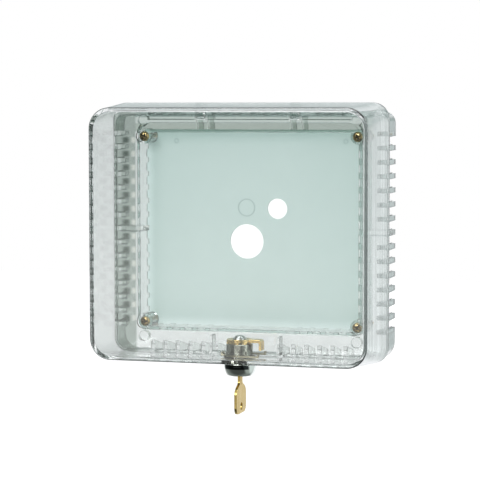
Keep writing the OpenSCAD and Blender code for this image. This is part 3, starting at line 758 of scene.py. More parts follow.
class Solid:
    """A closed solid that mesh operators shape, in millimetres, before it becomes a piece."""

    def __init__(self) -> None:
        """Starts with nothing in it."""
        self.mesh = bmesh.new()

    @classmethod
    def box(cls, low: Point, high: Point, soft: float = 0.0, segments: int = 2) -> "Solid":
        """Makes a box between two opposite corners.

        Args:
            low: The corner with the lowest numbers.
            high: The corner with the highest numbers.
            soft: Radius of its edges.
            segments: Steps round each edge.

        Returns:
            The box.
        """
        solid = cls()
        bmesh.ops.create_cube(solid.mesh, size=1.0)
        bmesh.ops.scale(solid.mesh, vec=Vector(high) - Vector(low), verts=solid.mesh.verts)
        bmesh.ops.translate(solid.mesh, vec=(Vector(low) + Vector(high)) / 2, verts=solid.mesh.verts)
        return solid.soften(soft, segments)

    @classmethod
    def rod(cls, start: Point, end: Point, radius: float, far_radius: float | None = None,
            soft: float = 0.0, steps: int = 64) -> "Solid":
        """Makes a round rod or cone between two points.

        Args:
            start: Middle of one end.
            end: Middle of the other end.
            radius: Radius at the start.
            far_radius: Radius at the end, if it differs.
            soft: Radius of the end edges.
            steps: Sides of the rod.

        Returns:
            The rod.
        """
        solid = cls()
        line = Vector(end) - Vector(start)
        turn = line.to_track_quat("Z", "Y").to_matrix().to_4x4()
        bmesh.ops.create_cone(
            solid.mesh, cap_ends=True, segments=steps, radius1=radius,
            radius2=radius if far_radius is None else far_radius, depth=line.length,
            matrix=Matrix.Translation((Vector(start) + Vector(end)) / 2) @ turn)
        return solid.soften(soft, 2, 60.0)

    @classmethod
    def rods(cls, places: Sequence[Range], start: float, end: float, radius: float,
             soft: float = 0.0, steps: int = 64) -> "Solid":
        """Makes round rods that stand square to the wall.

        Args:
            places: Where each rod stands, across and up.
            start: The depth at one end.
            end: The depth at the other end.
            radius: The rods' radius.
            soft: Radius of their end edges.
            steps: Sides of each rod.

        Returns:
            The rods as one solid.
        """
        rods = cls()
        for x, z in places:
            rods.beside(cls.rod((x, start, z), (x, end, z), radius, soft=soft, steps=steps))
        return rods

    @classmethod
    def turned(cls, outline: Sequence[Range], place: Matrix, hollow: bool = False,
               steps: int = 72) -> "Solid":
        """Spins an outline of radius and height round its own Z axis, and puts the result in place.

        Args:
            outline: The points, from one end of the axis to the other, or round a ring's section.
            place: Where the axis goes.
            hollow: True where the outline is a ring's closed section.
            steps: Sides of the turned form.

        Returns:
            The turned solid.
        """
        solid = cls()
        points = [solid.mesh.verts.new((radius, 0.0, height)) for radius, height in outline]
        far = points[1:] + points[:1] if hollow else points[1:]
        edges = [solid.mesh.edges.new(pair) for pair in zip(points, far)]
        bmesh.ops.spin(solid.mesh, geom=points + edges, cent=(0, 0, 0), axis=(0, 0, 1),
                       angle=math.tau, steps=steps, use_merge=True)
        return solid.tidy().moved(place)

    @classmethod
    def plate(cls, corners: Sequence[Point], thickness: float, place: Matrix,
              corner_steps: int = 6) -> "Solid":
        """Makes a flat plate from the corners of its outline.

        Args:
            corners: Each corner's two coordinates and its radius.
            thickness: How thick the plate is, half on each side of the drawing plane.
            place: Where the drawing's X, Y and Z go.
            corner_steps: Steps round each rounded corner.

        Returns:
            The plate.
        """
        solid = cls()
        points = [solid.mesh.verts.new((x, y, -thickness / 2)) for x, y, _ in corners]
        solid.mesh.faces.new(points)
        for radius in sorted({corner[2] for corner in corners if corner[2] > 0}):
            same = [point for point, corner in zip(points, corners) if corner[2] == radius]
            bmesh.ops.bevel(solid.mesh, geom=same, offset=radius, offset_type="OFFSET", segments=corner_steps,
                            profile=0.5, affect="VERTICES", clamp_overlap=False, material=-1)
        grown = bmesh.ops.extrude_face_region(solid.mesh, geom=solid.mesh.faces[:])
        moved = [part for part in grown["geom"] if isinstance(part, bmesh.types.BMVert)]
        bmesh.ops.translate(solid.mesh, vec=(0, 0, thickness), verts=moved)
        bmesh.ops.recalc_face_normals(solid.mesh, faces=solid.mesh.faces)
        return solid.moved(place)

    @classmethod
    def lofted(cls, bands: Sequence[Band], ring: bool = False, corner_steps: int = 10) -> "Solid":
        """Bridges a skin over a row of bands, drawn well apart first so that no two of them lie in one plane.

        Args:
            bands: The bands in order.
            ring: True where the last band joins the first again, False where both ends are capped.
            corner_steps: Steps round each corner.

        Returns:
            The lofted solid.
        """
        solid, apart = cls(), 10.0
        loops = [solid.loop(replace(band, y=apart * number), corner_steps)
                 for number, band in enumerate(bands)]
        points = [{point for edge in loop for point in edge.verts} for loop in loops]
        far = loops[1:] + loops[:1] if ring else loops[1:]
        for pair in zip(loops, far):
            bmesh.ops.bridge_loops(solid.mesh, edges=pair[0] + pair[1])
        if not ring:
            for end in (loops[0], loops[-1]):
                bmesh.ops.contextual_create(solid.mesh, geom=end)
        for number, (band, group) in enumerate(zip(bands, points)):
            bmesh.ops.translate(solid.mesh, vec=(0, band.y - apart * number, 0), verts=list(group))
        return solid.tidy()

    def loop(self, band: Band, corner_steps: int) -> list[bmesh.types.BMEdge]:
        """Draws one band as a closed loop of edges.

        Args:
            band: The band.
            corner_steps: Steps round each corner.

        Returns:
            The loop's edges.
        """
        corners = bmesh.ops.create_grid(self.mesh, x_segments=1, y_segments=1, size=1.0)["verts"]
        for corner in corners:
            across, up = corner.co.x, corner.co.y
            corner.co = (math.copysign(band.half_w, across), band.y, band.low if up < 0 else band.high)
        low = [corner for corner in corners if corner.co.z < (band.low + band.high) / 2]
        high = [corner for corner in corners if corner not in low]
        for ends, radius in ((low, band.low_r), (high, band.high_r)):
            bmesh.ops.bevel(self.mesh, geom=ends, offset=radius, offset_type="OFFSET", segments=corner_steps,
                            profile=0.5, affect="VERTICES", clamp_overlap=False, material=-1)
        face = self.mesh.faces[:][-1]
        edges = list(face.edges)
        bmesh.ops.delete(self.mesh, geom=[face], context="FACES_ONLY")
        return edges

    def tidy(self) -> "Solid":
        """Merges doubles, drops faces without area and turns all faces outwards."""
        bmesh.ops.remove_doubles(self.mesh, verts=self.mesh.verts, dist=DOUBLES)
        bmesh.ops.dissolve_degenerate(self.mesh, edges=self.mesh.edges, dist=DOUBLES)
        bmesh.ops.recalc_face_normals(self.mesh, faces=self.mesh.faces)
        return self

    def soften(self, width: float, segments: int = 2, angle_deg: float = 30.0,
               where: Callable[[Vector], bool] | None = None) -> "Solid":
        """Rounds the sharp edges.

        Args:
            width: How far each edge is cut back.
            segments: Steps round each edge.
            angle_deg: The least bend of an edge that counts as sharp.
            where: Tells from an edge's middle whether it is rounded, or None for all.

        Returns:
            The solid itself.
        """
        if width <= 0:
            return self
        least = math.radians(angle_deg)
        sharp = [edge for edge in self.mesh.edges if edge.is_manifold and edge.calc_face_angle(0.0) > least
                 and (where is None or where((edge.verts[0].co + edge.verts[1].co) / 2))]
        bmesh.ops.bevel(self.mesh, geom=sharp, offset=width, offset_type="OFFSET", segments=segments,
                        profile=0.5, affect="EDGES", clamp_overlap=True, material=-1)
        return self

    def moved(self, place: Matrix) -> "Solid":
        """Turns and moves the solid."""
        bmesh.ops.transform(self.mesh, matrix=place, verts=self.mesh.verts)
        return self

    def beside(self, other: "Solid") -> "Solid":
        """Takes in another solid that doesn't meet this one."""
        self.mesh.from_mesh(other.as_mesh())
        return self

    def join(self, *others: "Solid") -> "Solid":
        """Fuses other solids with this one."""
        for other in others:
            self.combine(other, "UNION")
        return self

    def cut(self, *others: "Solid") -> "Solid":
        """Cuts other solids out of this one."""
        for other in others:
            self.combine(other, "DIFFERENCE")
        return self

    def as_mesh(self) -> bpy.types.Mesh:
        """A plain mesh with this solid's shape."""
        data = bpy.data.meshes.new("work")
        self.mesh.to_mesh(data)
        return data

    def combine(self, other: "Solid", operation: str) -> None:
        """Runs a boolean with another solid.

        Args:
            other: The other solid.
            operation: UNION, DIFFERENCE or INTERSECT.
        """
        pair = [bpy.data.objects.new("work", solid.as_mesh()) for solid in (self, other)]
        for item in pair:
            bpy.context.collection.objects.link(item)
        modifier = pair[0].modifiers.new("combine", "BOOLEAN")
        modifier.operation, modifier.solver, modifier.object = operation, "MANIFOLD", pair[1]
        shaped = pair[0].evaluated_get(bpy.context.evaluated_depsgraph_get()).to_mesh()
        self.mesh.clear()
        self.mesh.from_mesh(shaped)
        for item in pair:
            data = item.data
            bpy.data.objects.remove(item)
            bpy.data.meshes.remove(data)

    def finish(self, name: str, *finishes: "Finish", smooth_deg: float = 40.0) -> bpy.types.Object:
        """Turns the solid into an object in metres, with its finish.

        Args:
            name: The object's name.
            *finishes: Its finish, and a second one for the faces that are numbered 1.
            smooth_deg: The least bend that stays a crisp edge.

        Returns:
            The object.
        """
        bmesh.ops.remove_doubles(self.mesh, verts=self.mesh.verts, dist=DOUBLES)
        bmesh.ops.scale(self.mesh, vec=(MM, MM, MM), verts=self.mesh.verts)
        data = self.as_mesh()
        data.name = name
        for face in data.polygons:
            face.use_smooth = True
        data.set_sharp_from_angle(angle=math.radians(smooth_deg))
        for finish in finishes:
            data.materials.append(finish.material())
        piece = bpy.data.objects.new(name, data)
        bpy.context.collection.objects.link(piece)
        even = piece.modifiers.new("even_shading", "WEIGHTED_NORMAL")
        even.keep_sharp = True
        self.mesh.free()
        return piece


def place_piece(piece: bpy.types.Object, body: str, nodes: Sequence[str]) -> None:
    """Rides a finished piece on its body in place of its CAD nodes.

    Args:
        piece: The piece.
        body: The body that carries it.
        nodes: The CAD nodes that it stands for.
    """
    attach(piece, body)
    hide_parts(*nodes)
    log.info("%s: %d faces, on %s, for %s", piece.name, len(piece.data.polygons), body, ", ".join(nodes))


AT_LOCK = Matrix.Translation((0.0, -43.0, 0.0))
ALONG_X = Matrix(((0, 0, 1, 0), (1, 0, 0, 0), (0, 1, 0, 0), (0, 0, 0, 1)))
FACING_ROOM = Matrix.Rotation(math.radians(90.0), 4, "X")
SCREW_X, SCREW_Z = 79.5, 67.7
SCREW_PLACES = tuple((x, z) for x in (-SCREW_X, SCREW_X) for z in (-SCREW_Z, SCREW_Z))


@dataclass(frozen=True)
class Hinge:
    """The axis on which the cover's two hooks turn on the ring's two pins."""

    places: Range = (-35.0, 35.0)
    y: float = -20.0
    z: float = 84.0

    def rod(self, x: float, half: float, radius: float, soft: float = 0.0, steps: int = 64) -> Solid:
        """Makes a rod on the axis."""
        return Solid.rod((x - half, self.y, self.z), (x + half, self.y, self.z), radius, None, soft, steps)


HINGE = Hinge()


class Way(Enum):
    """The way that a wall's section runs, as a step outwards from the window and a step towards the wall."""

    IN = (-1.0, 0.0)
    OUT = (1.0, 0.0)
    BACK = (0.0, 1.0)
    FRONT = (0.0, -1.0)


@dataclass(frozen=True)
class Turn:
    """One corner of a ring's section: how far out of its outline it lies, how deep, and how it is rounded."""

    outline: str
    out: float
    y: float
    radius: float
    arrive: Way
    leave: Way

    def points(self, steps: int = 3) -> list[Range]:
        """The corner's points, each an offset from its outline and a depth."""
        if self.radius <= 0:
            return [(self.out, self.y)]
        arrive, leave = Vector(self.arrive.value), Vector(self.leave.value)
        middle = Vector((self.out, self.y)) + (leave - arrive) * self.radius
        turns = [math.radians(90.0 * step / steps) for step in range(steps + 1)]
        return [tuple(middle + (arrive * math.sin(turn) - leave * math.cos(turn)) * self.radius)
                for turn in turns]


@dataclass
class Cover:
    """The deep clear cover, with the pad for its lock and the two hooks that it hangs on."""

    front_half_w: float = 100.0
    front_half_h: float = 88.7
    rim_y: float = -22.8
    front_y: float = -79.4
    draft: float = 3.4
    wall: float = 2.8
    corner_r: float = 15.0
    rim_corner_r: float = 12.0
    edge_r: float = 0.9
    inner_edge_r: float = 0.5
    inner_corner_loss: float = 2.24
    rim_soft: float = 0.5
    pad_low: float = -91.771
    pad_high: float = -87.102
    pad_r: float = 11.4
    pad_soft: float = 0.4
    bore_r: float = 9.55
    lug_half_w: float = 0.85
    lug_reach: float = 10.35
    hook_half_w: float = 3.0
    hook_r: float = 4.2
    hook_soft: float = 0.3
    arm_t: float = 3.0
    arm_inset: float = 0.05
    arm_drop: float = 2.15
    pin_hole_r: float = 2.05
    mouth_half: float = 1.8
    hook_top: float = 90.1

    def band(self, y: float, inset: float, loss: float) -> Band:
        """The cover's outline at a depth.

        Args:
            y: The depth.
            inset: How far it is set in from the outside.
            loss: What its corner radius loses.

        Returns:
            The outline as a band.
        """
        share = (y - self.front_y) / (self.rim_y - self.front_y)
        lean = self.draft * share
        radius = self.corner_r + (self.rim_corner_r - self.corner_r) * share - loss
        half_h = self.front_half_h + lean - inset
        return Band(y, self.front_half_w + lean - inset, -half_h, half_h, radius, radius)

    def shell(self) -> Solid:
        """The shell: over the outside from the front, round the rim, and back along the inside."""
        turns = [math.radians(angle) for angle in range(90, -1, -10)]
        rim, wall, loss, edge = self.rim_y, self.wall, self.inner_corner_loss, round_edge(self.rim_soft)
        outside = [self.rounded(self.front_y, self.edge_r, 0, 0, turn) for turn in turns]
        inside = [self.rounded(self.front_y + wall, self.inner_edge_r, wall, loss, turn)
                  for turn in reversed(turns)]
        over = [self.band(rim - back, step, step) for step, back in edge]
        over += [self.band(rim - back, wall - step, loss - step) for step, back in reversed(edge)]
        return Solid.lofted(outside + over + inside, corner_steps=14)

    def rounded(self, y: float, radius: float, inset: float, loss: float, turn: float) -> Band:
        """One step round the front edge of the shell's outside or inside."""
        step = radius * (1 - math.cos(turn))
        return self.band(y + radius * (1 - math.sin(turn)), inset + step, loss + step)

    def hook(self, x: float) -> Solid:
        """One hinge hook, open downwards.

        Args:
            x: Its middle.

        Returns:
            The hook.
        """
        left, right, base = x - self.hook_half_w, x + self.hook_half_w, HINGE.z - self.hook_r - PAST
        hook = HINGE.rod(x, self.hook_half_w, self.hook_r, self.hook_soft)
        hook.join(Solid.box((left + self.arm_inset, self.rim_y - self.arm_t, HINGE.z - self.arm_drop),
                            (right - self.arm_inset, self.rim_y, self.hook_top), self.hook_soft))
        return hook.cut(HINGE.rod(x, self.hook_half_w + PAST, self.pin_hole_r),
                        Solid.box((left - PAST, HINGE.y - self.mouth_half, base),
                                  (right + PAST, HINGE.y + self.mouth_half, HINGE.z)))

    def build(self) -> None:
        """Makes the cover."""
        cover = self.shell()
        y, low, high = AT_LOCK.translation.y, self.pad_low, self.pad_high
        cover.join(Solid.rod((0, y, low), (0, y, high), self.pad_r, soft=self.pad_soft))
        cover.cut(Solid.rod((0, y, low - PAST), (0, y, high + PAST), self.bore_r),
                  Solid.box((-self.lug_half_w, y, low - PAST),
                            (self.lug_half_w, y + self.lug_reach, high + PAST)))
        cover.join(*(self.hook(x) for x in HINGE.places))
        place_piece(cover.finish("clear_cover", Finish.CLEAR), "cover", ["cover"])


@dataclass
class ClearRing:
    """The clear ring on the wall, with its vents, ribs, screw posts, hinge bays, lip and catch tray."""

    half_w: float = 103.0
    low: float = -91.7
    high: float = 86.0
    low_r: float = 13.0
    high_r: float = 9.0
    wall: float = 2.5
    front: float = -22.8
    web_back: float = -20.8
    window_half_w: float = 81.2
    window_half_h: float = 70.5
    window_r: float = 4.0
    window_wall: float = 2.2
    collar_high: float = 77.4
    collar_step: float = 0.02
    collar_r: float = 8.0
    ledge_front: float = -16.6
    ledge_back: float = -14.6
    plate_front: float = -2.0
    notch_front: float = -6.0
    side_vents: int = 14
    side_pitch: float = 10.0
    row_vents: int = 5
    row_pitch: float = 9.6
    row_start: float = 29.0
    top_vents: int = 8
    vent_half: float = 3.15
    vent_soft: float = 0.5
    rib_t: float = 3.3
    rib_reach: float = 9.0
    rib_foot: float = 3.7
    rib_soft: float = 0.4
    rib_lap: float = 0.87
    rib_tip: float = -0.5
    boss_r: float = 3.9
    boss_soft: float = 0.5
    boss_lap: float = 1.0
    boss_places: Range = (-78.0, 79.6)
    post_r: float = 5.5
    post_soft: float = 0.3
    screw_hole_r: float = 2.3
    head_hole_r: float = 4.5
    plate_gap: float = 0.03
    window_lap: float = 1.1
    bridge_laps: Range = (1.07, 1.13)
    bridge_half: float = 2.0
    bridge_soft: float = 0.4
    bay_half: float = 3.4
    bay_reach: float = 4.55
    cheek_t: float = 1.6
    cheek_drop: float = 6.05
    cheek_soft: float = 0.3
    foot_inset: float = 0.02
    foot_gaps: Range = (0.7, 0.5)
    foot_soft: float = 0.2
    pin_r: float = 2.0
    pin_half: float = 4.2
    lip_half_w: float = 100.07
    lip_half_h: float = 88.77
    lip_r: float = 9.76
    lip_t: float = 1.6
    lip_lap: float = 1.0
    lip_reach: float = 3.0
    lip_top: float = 60.5
    lip_gap_half: float = 30.0
    lip_soft: float = 0.5
    tray_half_w: float = 26.0
    tray_t: float = 2.0
    tray_lap: float = 1.06
    tray_rise: float = 3.0
    tray_soft: float = 0.4
    catch_ends: Range = (-9.9, 2.5)
    catch_t: float = 2.6
    tray_front: float = -31.0
    tray_floor: float = -88.207
    catch_top: float = -77.671

    def outline(self, name: str, out: float, y: float) -> Band:
        """One of the ring's outlines.

        Args:
            name: outer, collar or window.
            out: How far outside it.
            y: Its depth.

        Returns:
            The outline as a band.
        """
        if name == "outer":
            return Band(y, self.half_w, self.low, self.high, self.low_r, self.high_r).inset(-out)
        half_w, half_h, radius = self.window_half_w, self.window_half_h, self.window_r
        if name == "collar":
            collar = Band(y, half_w, -half_h, self.collar_high, radius, self.collar_r)
            return collar.inset(-out - self.collar_step)
        return Band(y, half_w, -half_h, half_h, radius, radius).inset(-out)

    def body(self) -> Solid:
        """The ring's walls and web, as one section led round the window."""
        section = [
            Turn("outer", 0, 0, 0.3, Way.OUT, Way.FRONT),
            Turn("outer", 0, self.front, 0.9, Way.FRONT, Way.IN),
            Turn("collar", 0, self.front, 0.6, Way.IN, Way.BACK),
            Turn("collar", 0, self.ledge_front, 0, Way.BACK, Way.IN),
            Turn("window", 0, self.ledge_front, 0, Way.IN, Way.BACK),
            Turn("window", 0, self.plate_front, 0.3, Way.BACK, Way.OUT),
            Turn("window", self.window_wall, self.plate_front, 0.3, Way.OUT, Way.FRONT),
            Turn("window", self.window_wall, self.ledge_back, 0, Way.FRONT, Way.OUT),
            Turn("collar", self.window_wall, self.ledge_back, 0, Way.OUT, Way.FRONT),
            Turn("collar", self.window_wall, self.web_back, 1.0, Way.FRONT, Way.OUT),
            Turn("outer", -self.wall, self.web_back, 1.2, Way.OUT, Way.BACK),
            Turn("outer", -self.wall, 0, 0.3, Way.BACK, Way.OUT)]
        bands = [self.outline(turn.outline, out, y) for turn in section for out, y in turn.points()]
        return Solid.lofted(bands, ring=True)

    def row_places(self) -> list[float]:
        """The middles of the bottom vents to the right of the lock."""
        return [self.row_start + step * self.row_pitch for step in range(self.row_vents)]

    def side_places(self) -> list[float]:
        """The middles of the side vents."""
        return [(step - (self.side_vents - 1) / 2) * self.side_pitch for step in range(self.side_vents)]

    def top_places(self) -> list[float]:
        """The middles of the top vents to the right of the middle, clear of the hinge bays."""
        clear = self.bay_half + self.cheek_t + self.vent_half + self.vent_soft
        places = [(step + 0.5) * self.row_pitch for step in range(self.top_vents)]
        return [place for place in places if abs(place - HINGE.places[1]) > clear]

    def vents(self) -> Solid:
        """Every vent and notch as one tool."""
        tool, half, front, notch = Solid(), self.vent_half, self.web_back + HAIR, self.notch_front
        sides = ((self.half_w - self.wall - HAIR, self.half_w + PAST, front, PAST),
                 (self.window_half_w - PAST, self.window_half_w + self.window_wall + HAIR, notch, 0.0))
        bottom = ((front, PAST, self.low - PAST, self.low + self.wall),
                  (notch, 0.0, -self.window_half_h - self.window_wall - HAIR, -self.window_half_h + PAST))
        top = ((front, PAST, self.high - self.wall, self.high + PAST),)
        for side in (-1, 1):
            for z in self.side_places():
                for near, far, fore, rear in sides:
                    low, high = sorted((side * near, side * far))
                    tool.beside(Solid.box((low, fore, z - half), (high, rear, z + half), self.vent_soft))
            for places, holes in ((self.row_places(), bottom), (self.top_places(), top)):
                for x in (side * place for place in places):
                    for fore, rear, low, high in holes:
                        tool.beside(Solid.box((x - half, fore, low), (x + half, rear, high), self.vent_soft))
        return tool

    def ribs(self) -> Solid:
        """The gusset ribs behind the web, between the vents."""
        ribs, web, tip = Solid(), self.front + self.rib_lap, self.rib_tip
        outer, inner = self.half_w - self.wall / 2, self.half_w - self.wall
        near, foot = inner - self.rib_reach, inner - self.rib_foot
        low, face = self.low + self.wall / 2, self.low + self.wall
        reach, toe = face + self.rib_reach, face + self.rib_foot
        upright = [(y, z, 0) for y, z in ((web, low), (web, reach), (tip, toe), (tip, low))]
        heights = [(step - self.side_vents / 2) * self.side_pitch for step in range(self.side_vents + 1)]
        steps = [self.row_start + (step - 0.5) * self.row_pitch for step in range(self.row_vents + 1)]
        for side in (-1, 1):
            level = [(side * x, y, 0) for x, y in ((outer, web), (near, web), (foot, tip), (outer, tip))]
            places = [(level, Matrix.Translation((0, 0, height))) for height in heights]
            places += [(upright, Matrix.Translation((side * step, 0, 0)) @ ALONG_X) for step in steps]
            for corners, place in places:
                ribs.beside(Solid.plate(corners, self.rib_t, place).soften(self.rib_soft, 3))
        return ribs

    def lip(self) -> Solid:
        """The locating lip, left open at the top and over the tray."""
        half_h, radius = self.lip_half_h, self.lip_r
        outer = Band(self.front + self.lip_lap, self.lip_half_w, -half_h, half_h, radius, radius)
        inner, reach, edge = outer.inset(self.lip_t), self.front - self.lip_reach, round_edge(self.lip_soft)
        bands = [outer] + [outer.inset(gap, reach + back) for gap, back in edge]
        bands += [inner.inset(-gap, reach + back) for gap, back in reversed(edge)] + [inner]
        gap = self.lip_gap_half
        return Solid.lofted(bands, ring=True).cut(Solid.box((-110, -40, self.lip_top), (110, 0, 110)),
                                                  Solid.box((-gap, -40, -100), (gap, 0, -80)))

    def tray(self) -> Solid:
        """The catch tray with its side walls and the wall that the cam's hook goes behind."""
        half, front, floor = self.tray_half_w, self.tray_front, self.tray_floor
        back, rise = self.front + self.tray_lap, self.catch_top + self.tray_rise
        left, right = self.catch_ends
        boxes = [((-half, front, floor), (half, back, floor + self.tray_t)),
                 ((left, front, floor), (right, front + self.catch_t, self.catch_top)),
                 ((-half, front, floor), (self.tray_t - half, back, rise)),
                 ((half - self.tray_t, front, floor), (half, back, rise))]
        base, *others = (Solid.box(low, high, self.tray_soft) for low, high in boxes)
        return base.join(*others)

    def hinge_bay(self, x: float) -> Solid:
        """One hinge bay's cheeks and pin.

        Args:
            x: Its middle.

        Returns:
            The cheeks and the pin as one solid.
        """
        bay = HINGE.rod(x, self.pin_half, self.pin_r, steps=40)
        wide, inset = self.bay_half + self.cheek_t, self.foot_inset
        front, high = self.ledge_front + self.foot_gaps[0], self.high - self.foot_gaps[1]
        for near, far in ((x - wide, x - self.bay_half), (x + self.bay_half, x + wide)):
            bay.join(Solid.box((near, self.front, HINGE.z - self.cheek_drop),
                               (far, HINGE.y + self.bay_reach, self.high), self.cheek_soft),
                     Solid.box((near + inset, front, self.window_half_h + self.window_lap),
                               (far - inset, self.plate_front - self.plate_gap, high), self.foot_soft))
        return bay

    def bosses(self) -> Solid:
        """The round bosses behind the web, above and below the screws."""
        places = [(x, z) for x in (-SCREW_X, SCREW_X) for z in self.boss_places]
        return Solid.rods(places, self.web_back - self.boss_lap, self.ledge_back, self.boss_r, self.boss_soft)

    def bridges(self) -> Solid:
        """The bridge across each side's channel at mid height."""
        bridges, half, (outer_lap, web_lap) = Solid(), self.bridge_half, self.bridge_laps
        inner, outer = self.window_half_w + self.window_lap, self.half_w - outer_lap
        for side in (-1, 1):
            low, high = sorted((side * inner, side * outer))
            bridges.beside(Solid.box((low, self.front + web_lap, -half),
                                     (high, self.plate_front - self.plate_gap, half), self.bridge_soft))
        return bridges

    def build(self) -> None:
        """Makes the ring."""
        ring, room = self.body(), self.front - PAST
        ring.join(Solid.rods(SCREW_PLACES, self.plate_front, self.ledge_front, self.post_r, self.post_soft),
                  self.ribs(), self.bridges(), self.bosses(), self.lip(), self.tray())
        ring.cut(self.vents(), Solid.rods(SCREW_PLACES, self.ledge_front, room, self.head_hole_r),
                 Solid.rods(SCREW_PLACES, PAST, room, self.screw_hole_r))
        for x in HINGE.places:
            ring.cut(Solid.box((x - self.bay_half, room, HINGE.z - self.bay_reach),
                               (x + self.bay_half, HINGE.y + self.bay_reach, self.high + PAST)))
            ring.join(self.hinge_bay(x))
        place_piece(ring.finish("clear_ring", Finish.RING), "wall_base",
                    ["ring_left", "ring_right", "ring_top", "ring_bottom"])


@dataclass
class WallPlate:
    """The opaque plate behind the window."""

    half_w: float = 83.4
    half_h: float = 72.7
    corner_r: float = 3.0
    front: float = -2.0
    soft: float = 0.4
    holes: tuple[tuple[float, float, float], ...] = ((-6.4, -8.9, 12.6), (16.6, 15.2, 7.4))
    hole_soft: float = 0.35
    hole_limits: Range = (80.0, 70.0)
    screw_r: float = 2.4
    marks: tuple[tuple[float, float, float], ...] = ((-6.4, 15.8, 6.6), (-59.8, 64.1, 1.9), (67.3, 64.1, 1.9))
    mark_line: float = 0.9
    mark_depth: float = 0.25

    def build(self) -> None:
        """Makes the plate."""
        back = Band(0.0, self.half_w, -self.half_h, self.half_h, self.corner_r, self.corner_r)
        front = self.front
        edge = [back.inset(gap, front + behind) for gap, behind in round_edge(self.soft)]
        plate = Solid.lofted([back, *edge])
        tool = Solid()
        for x, z, radius in self.holes:
            tool.beside(Solid.rods([(x, z)], PAST, front - PAST, radius, steps=128))
        plate.cut(tool.beside(Solid.rods(SCREW_PLACES, PAST, front - PAST, self.screw_r, steps=40)))
        wide, high = self.hole_limits
        plate.soften(self.hole_soft, where=lambda middle: abs(middle.y - front) < HAIR
                     and abs(middle.x) < wide and abs(middle.z) < high)
        for x, z, radius in self.marks:
            near, deep, past = radius - self.mark_line, -front - self.mark_depth, PAST - front
            plate.cut(Solid.turned([(near, past), (near, deep), (radius, deep), (radius, past)],
                                   Matrix.Translation((x, 0, z)) @ FACING_ROOM, hollow=True))
        # The marks' groove faces take the second finish, painted shade.
        for face in plate.mesh.faces:
            middle = face.calc_center_median()
            deep = front + HAIR < middle.y < front + self.mark_depth + HAIR
            near = any(math.hypot(middle.x - x, middle.z - z) < radius + 0.1 for x, z, radius in self.marks)
            face.material_index = int(deep and near)
        place_piece(plate.finish("pale_wall_plate", Finish.PLATE, Finish.MARK), "wall_base", ["wallplate"])


@dataclass
class WallScrews:
    """The four pan-head screws, with their cross recesses and threads."""

    turns_deg: tuple[float, ...] = (43.0, 12.0, 11.0, -20.0)
    seat: float = 16.6
    head_r: float = 3.7
    head_h: float = 2.3
    head: Outline = (
        (0.35, 0.0), (0.08, 0.12), (0.0, 0.45), (0.12, 1.1), (0.55, 1.7), (1.3, 2.1), (2.3, 2.27))
    neck_r: float = 1.6
    root_r: float = 1.55
    thread_l: float = 16.0
    tip_l: float = 4.0
    pitch: float = 1.4
    thread_steps: int = 20
    thread_start: float = -0.6
    thread_section: Outline = ((1.5, -0.5), (2.1, -0.06), (2.1, 0.06), (1.5, 0.5))
    slot_half: float = 0.65
    slot_reach: float = 2.6
    slot_depth: float = 1.5
    slot_taper: Range = (0.45, 0.6)
    soft: float = 0.06

    def thread(self) -> Solid:
        """The thread's ridge, wound round the shank."""
        ridge, steps = Solid(), self.thread_steps
        rounds = int(self.thread_l / self.pitch) - 0.5
        points = [ridge.mesh.verts.new((radius, 0, height)) for radius, height in self.thread_section]
        edges = [ridge.mesh.edges.new(pair) for pair in zip(points, points[1:] + points[:1])]
        bmesh.ops.spin(ridge.mesh, geom=points + edges, cent=(0, 0, 0), axis=(0, 0, 1),
                       angle=math.tau * rounds, dvec=(0, 0, -self.pitch / steps), steps=int(rounds * steps))
        ends = [edge for edge in ridge.mesh.edges if edge.is_boundary]
        bmesh.ops.holes_fill(ridge.mesh, edges=ends, sides=len(points))
        bmesh.ops.recalc_face_normals(ridge.mesh, faces=ridge.mesh.faces)
        return ridge.moved(Matrix.Translation((0, 0, self.thread_start)))

    def screw(self) -> Solid:
        """One screw along its own Z, its head upwards and the wall's surface at 0."""
        top, tip = self.seat + self.head_h, -self.thread_l - self.tip_l
        outline = [(0, tip), (0.4, tip + 0.15), (self.root_r, -self.thread_l), (self.root_r, -0.1),
                   (self.neck_r, 0), (self.neck_r, self.seat)]
        outline += [(self.head_r - step, self.seat + height) for step, height in self.head]
        screw = Solid.turned(outline + [(0, top)], Matrix.Identity(4), steps=48)
        recess = Solid()
        for turn in (45.0, 135.0):
            arm = Solid.box((-self.slot_reach, -self.slot_half, top - self.slot_depth),
                            (self.slot_reach, self.slot_half, top + 0.6))
            for corner in arm.mesh.verts:
                if corner.co.z < top:
                    corner.co.x *= self.slot_taper[0]
                    corner.co.y *= self.slot_taper[1]
            arm.moved(Matrix.Rotation(math.radians(turn), 4, "Z"))
            recess.join(arm) if recess.mesh.verts else recess.beside(arm)
        screw.cut(recess)
        # The faces deep in the cross recess take the second finish, painted shade.
        for face in screw.mesh.faces:
            middle = face.calc_center_median()
            deep = self.seat + 0.5 < middle.z < top - 0.25 and middle.xy.length < self.slot_reach + 0.1
            face.material_index = int(deep and (face.normal.z < 0.4 or middle.z < top - 1.0))
        return screw.soften(self.soft, 1, 50.0).beside(self.thread())

    def build(self) -> None:
        """Makes the four screws as one piece."""
        screws = Solid()
        for (x, z), turn in zip(SCREW_PLACES, self.turns_deg):
            place = Matrix.Translation((x, 0, z)) @ FACING_ROOM @ Matrix.Rotation(math.radians(turn), 4, "Z")
            screws.beside(self.screw().moved(place))
        piece = screws.finish("wall_screws", Finish.SCREW, Finish.RECESS)
        place_piece(piece, "wall_base", ["base_screws"])


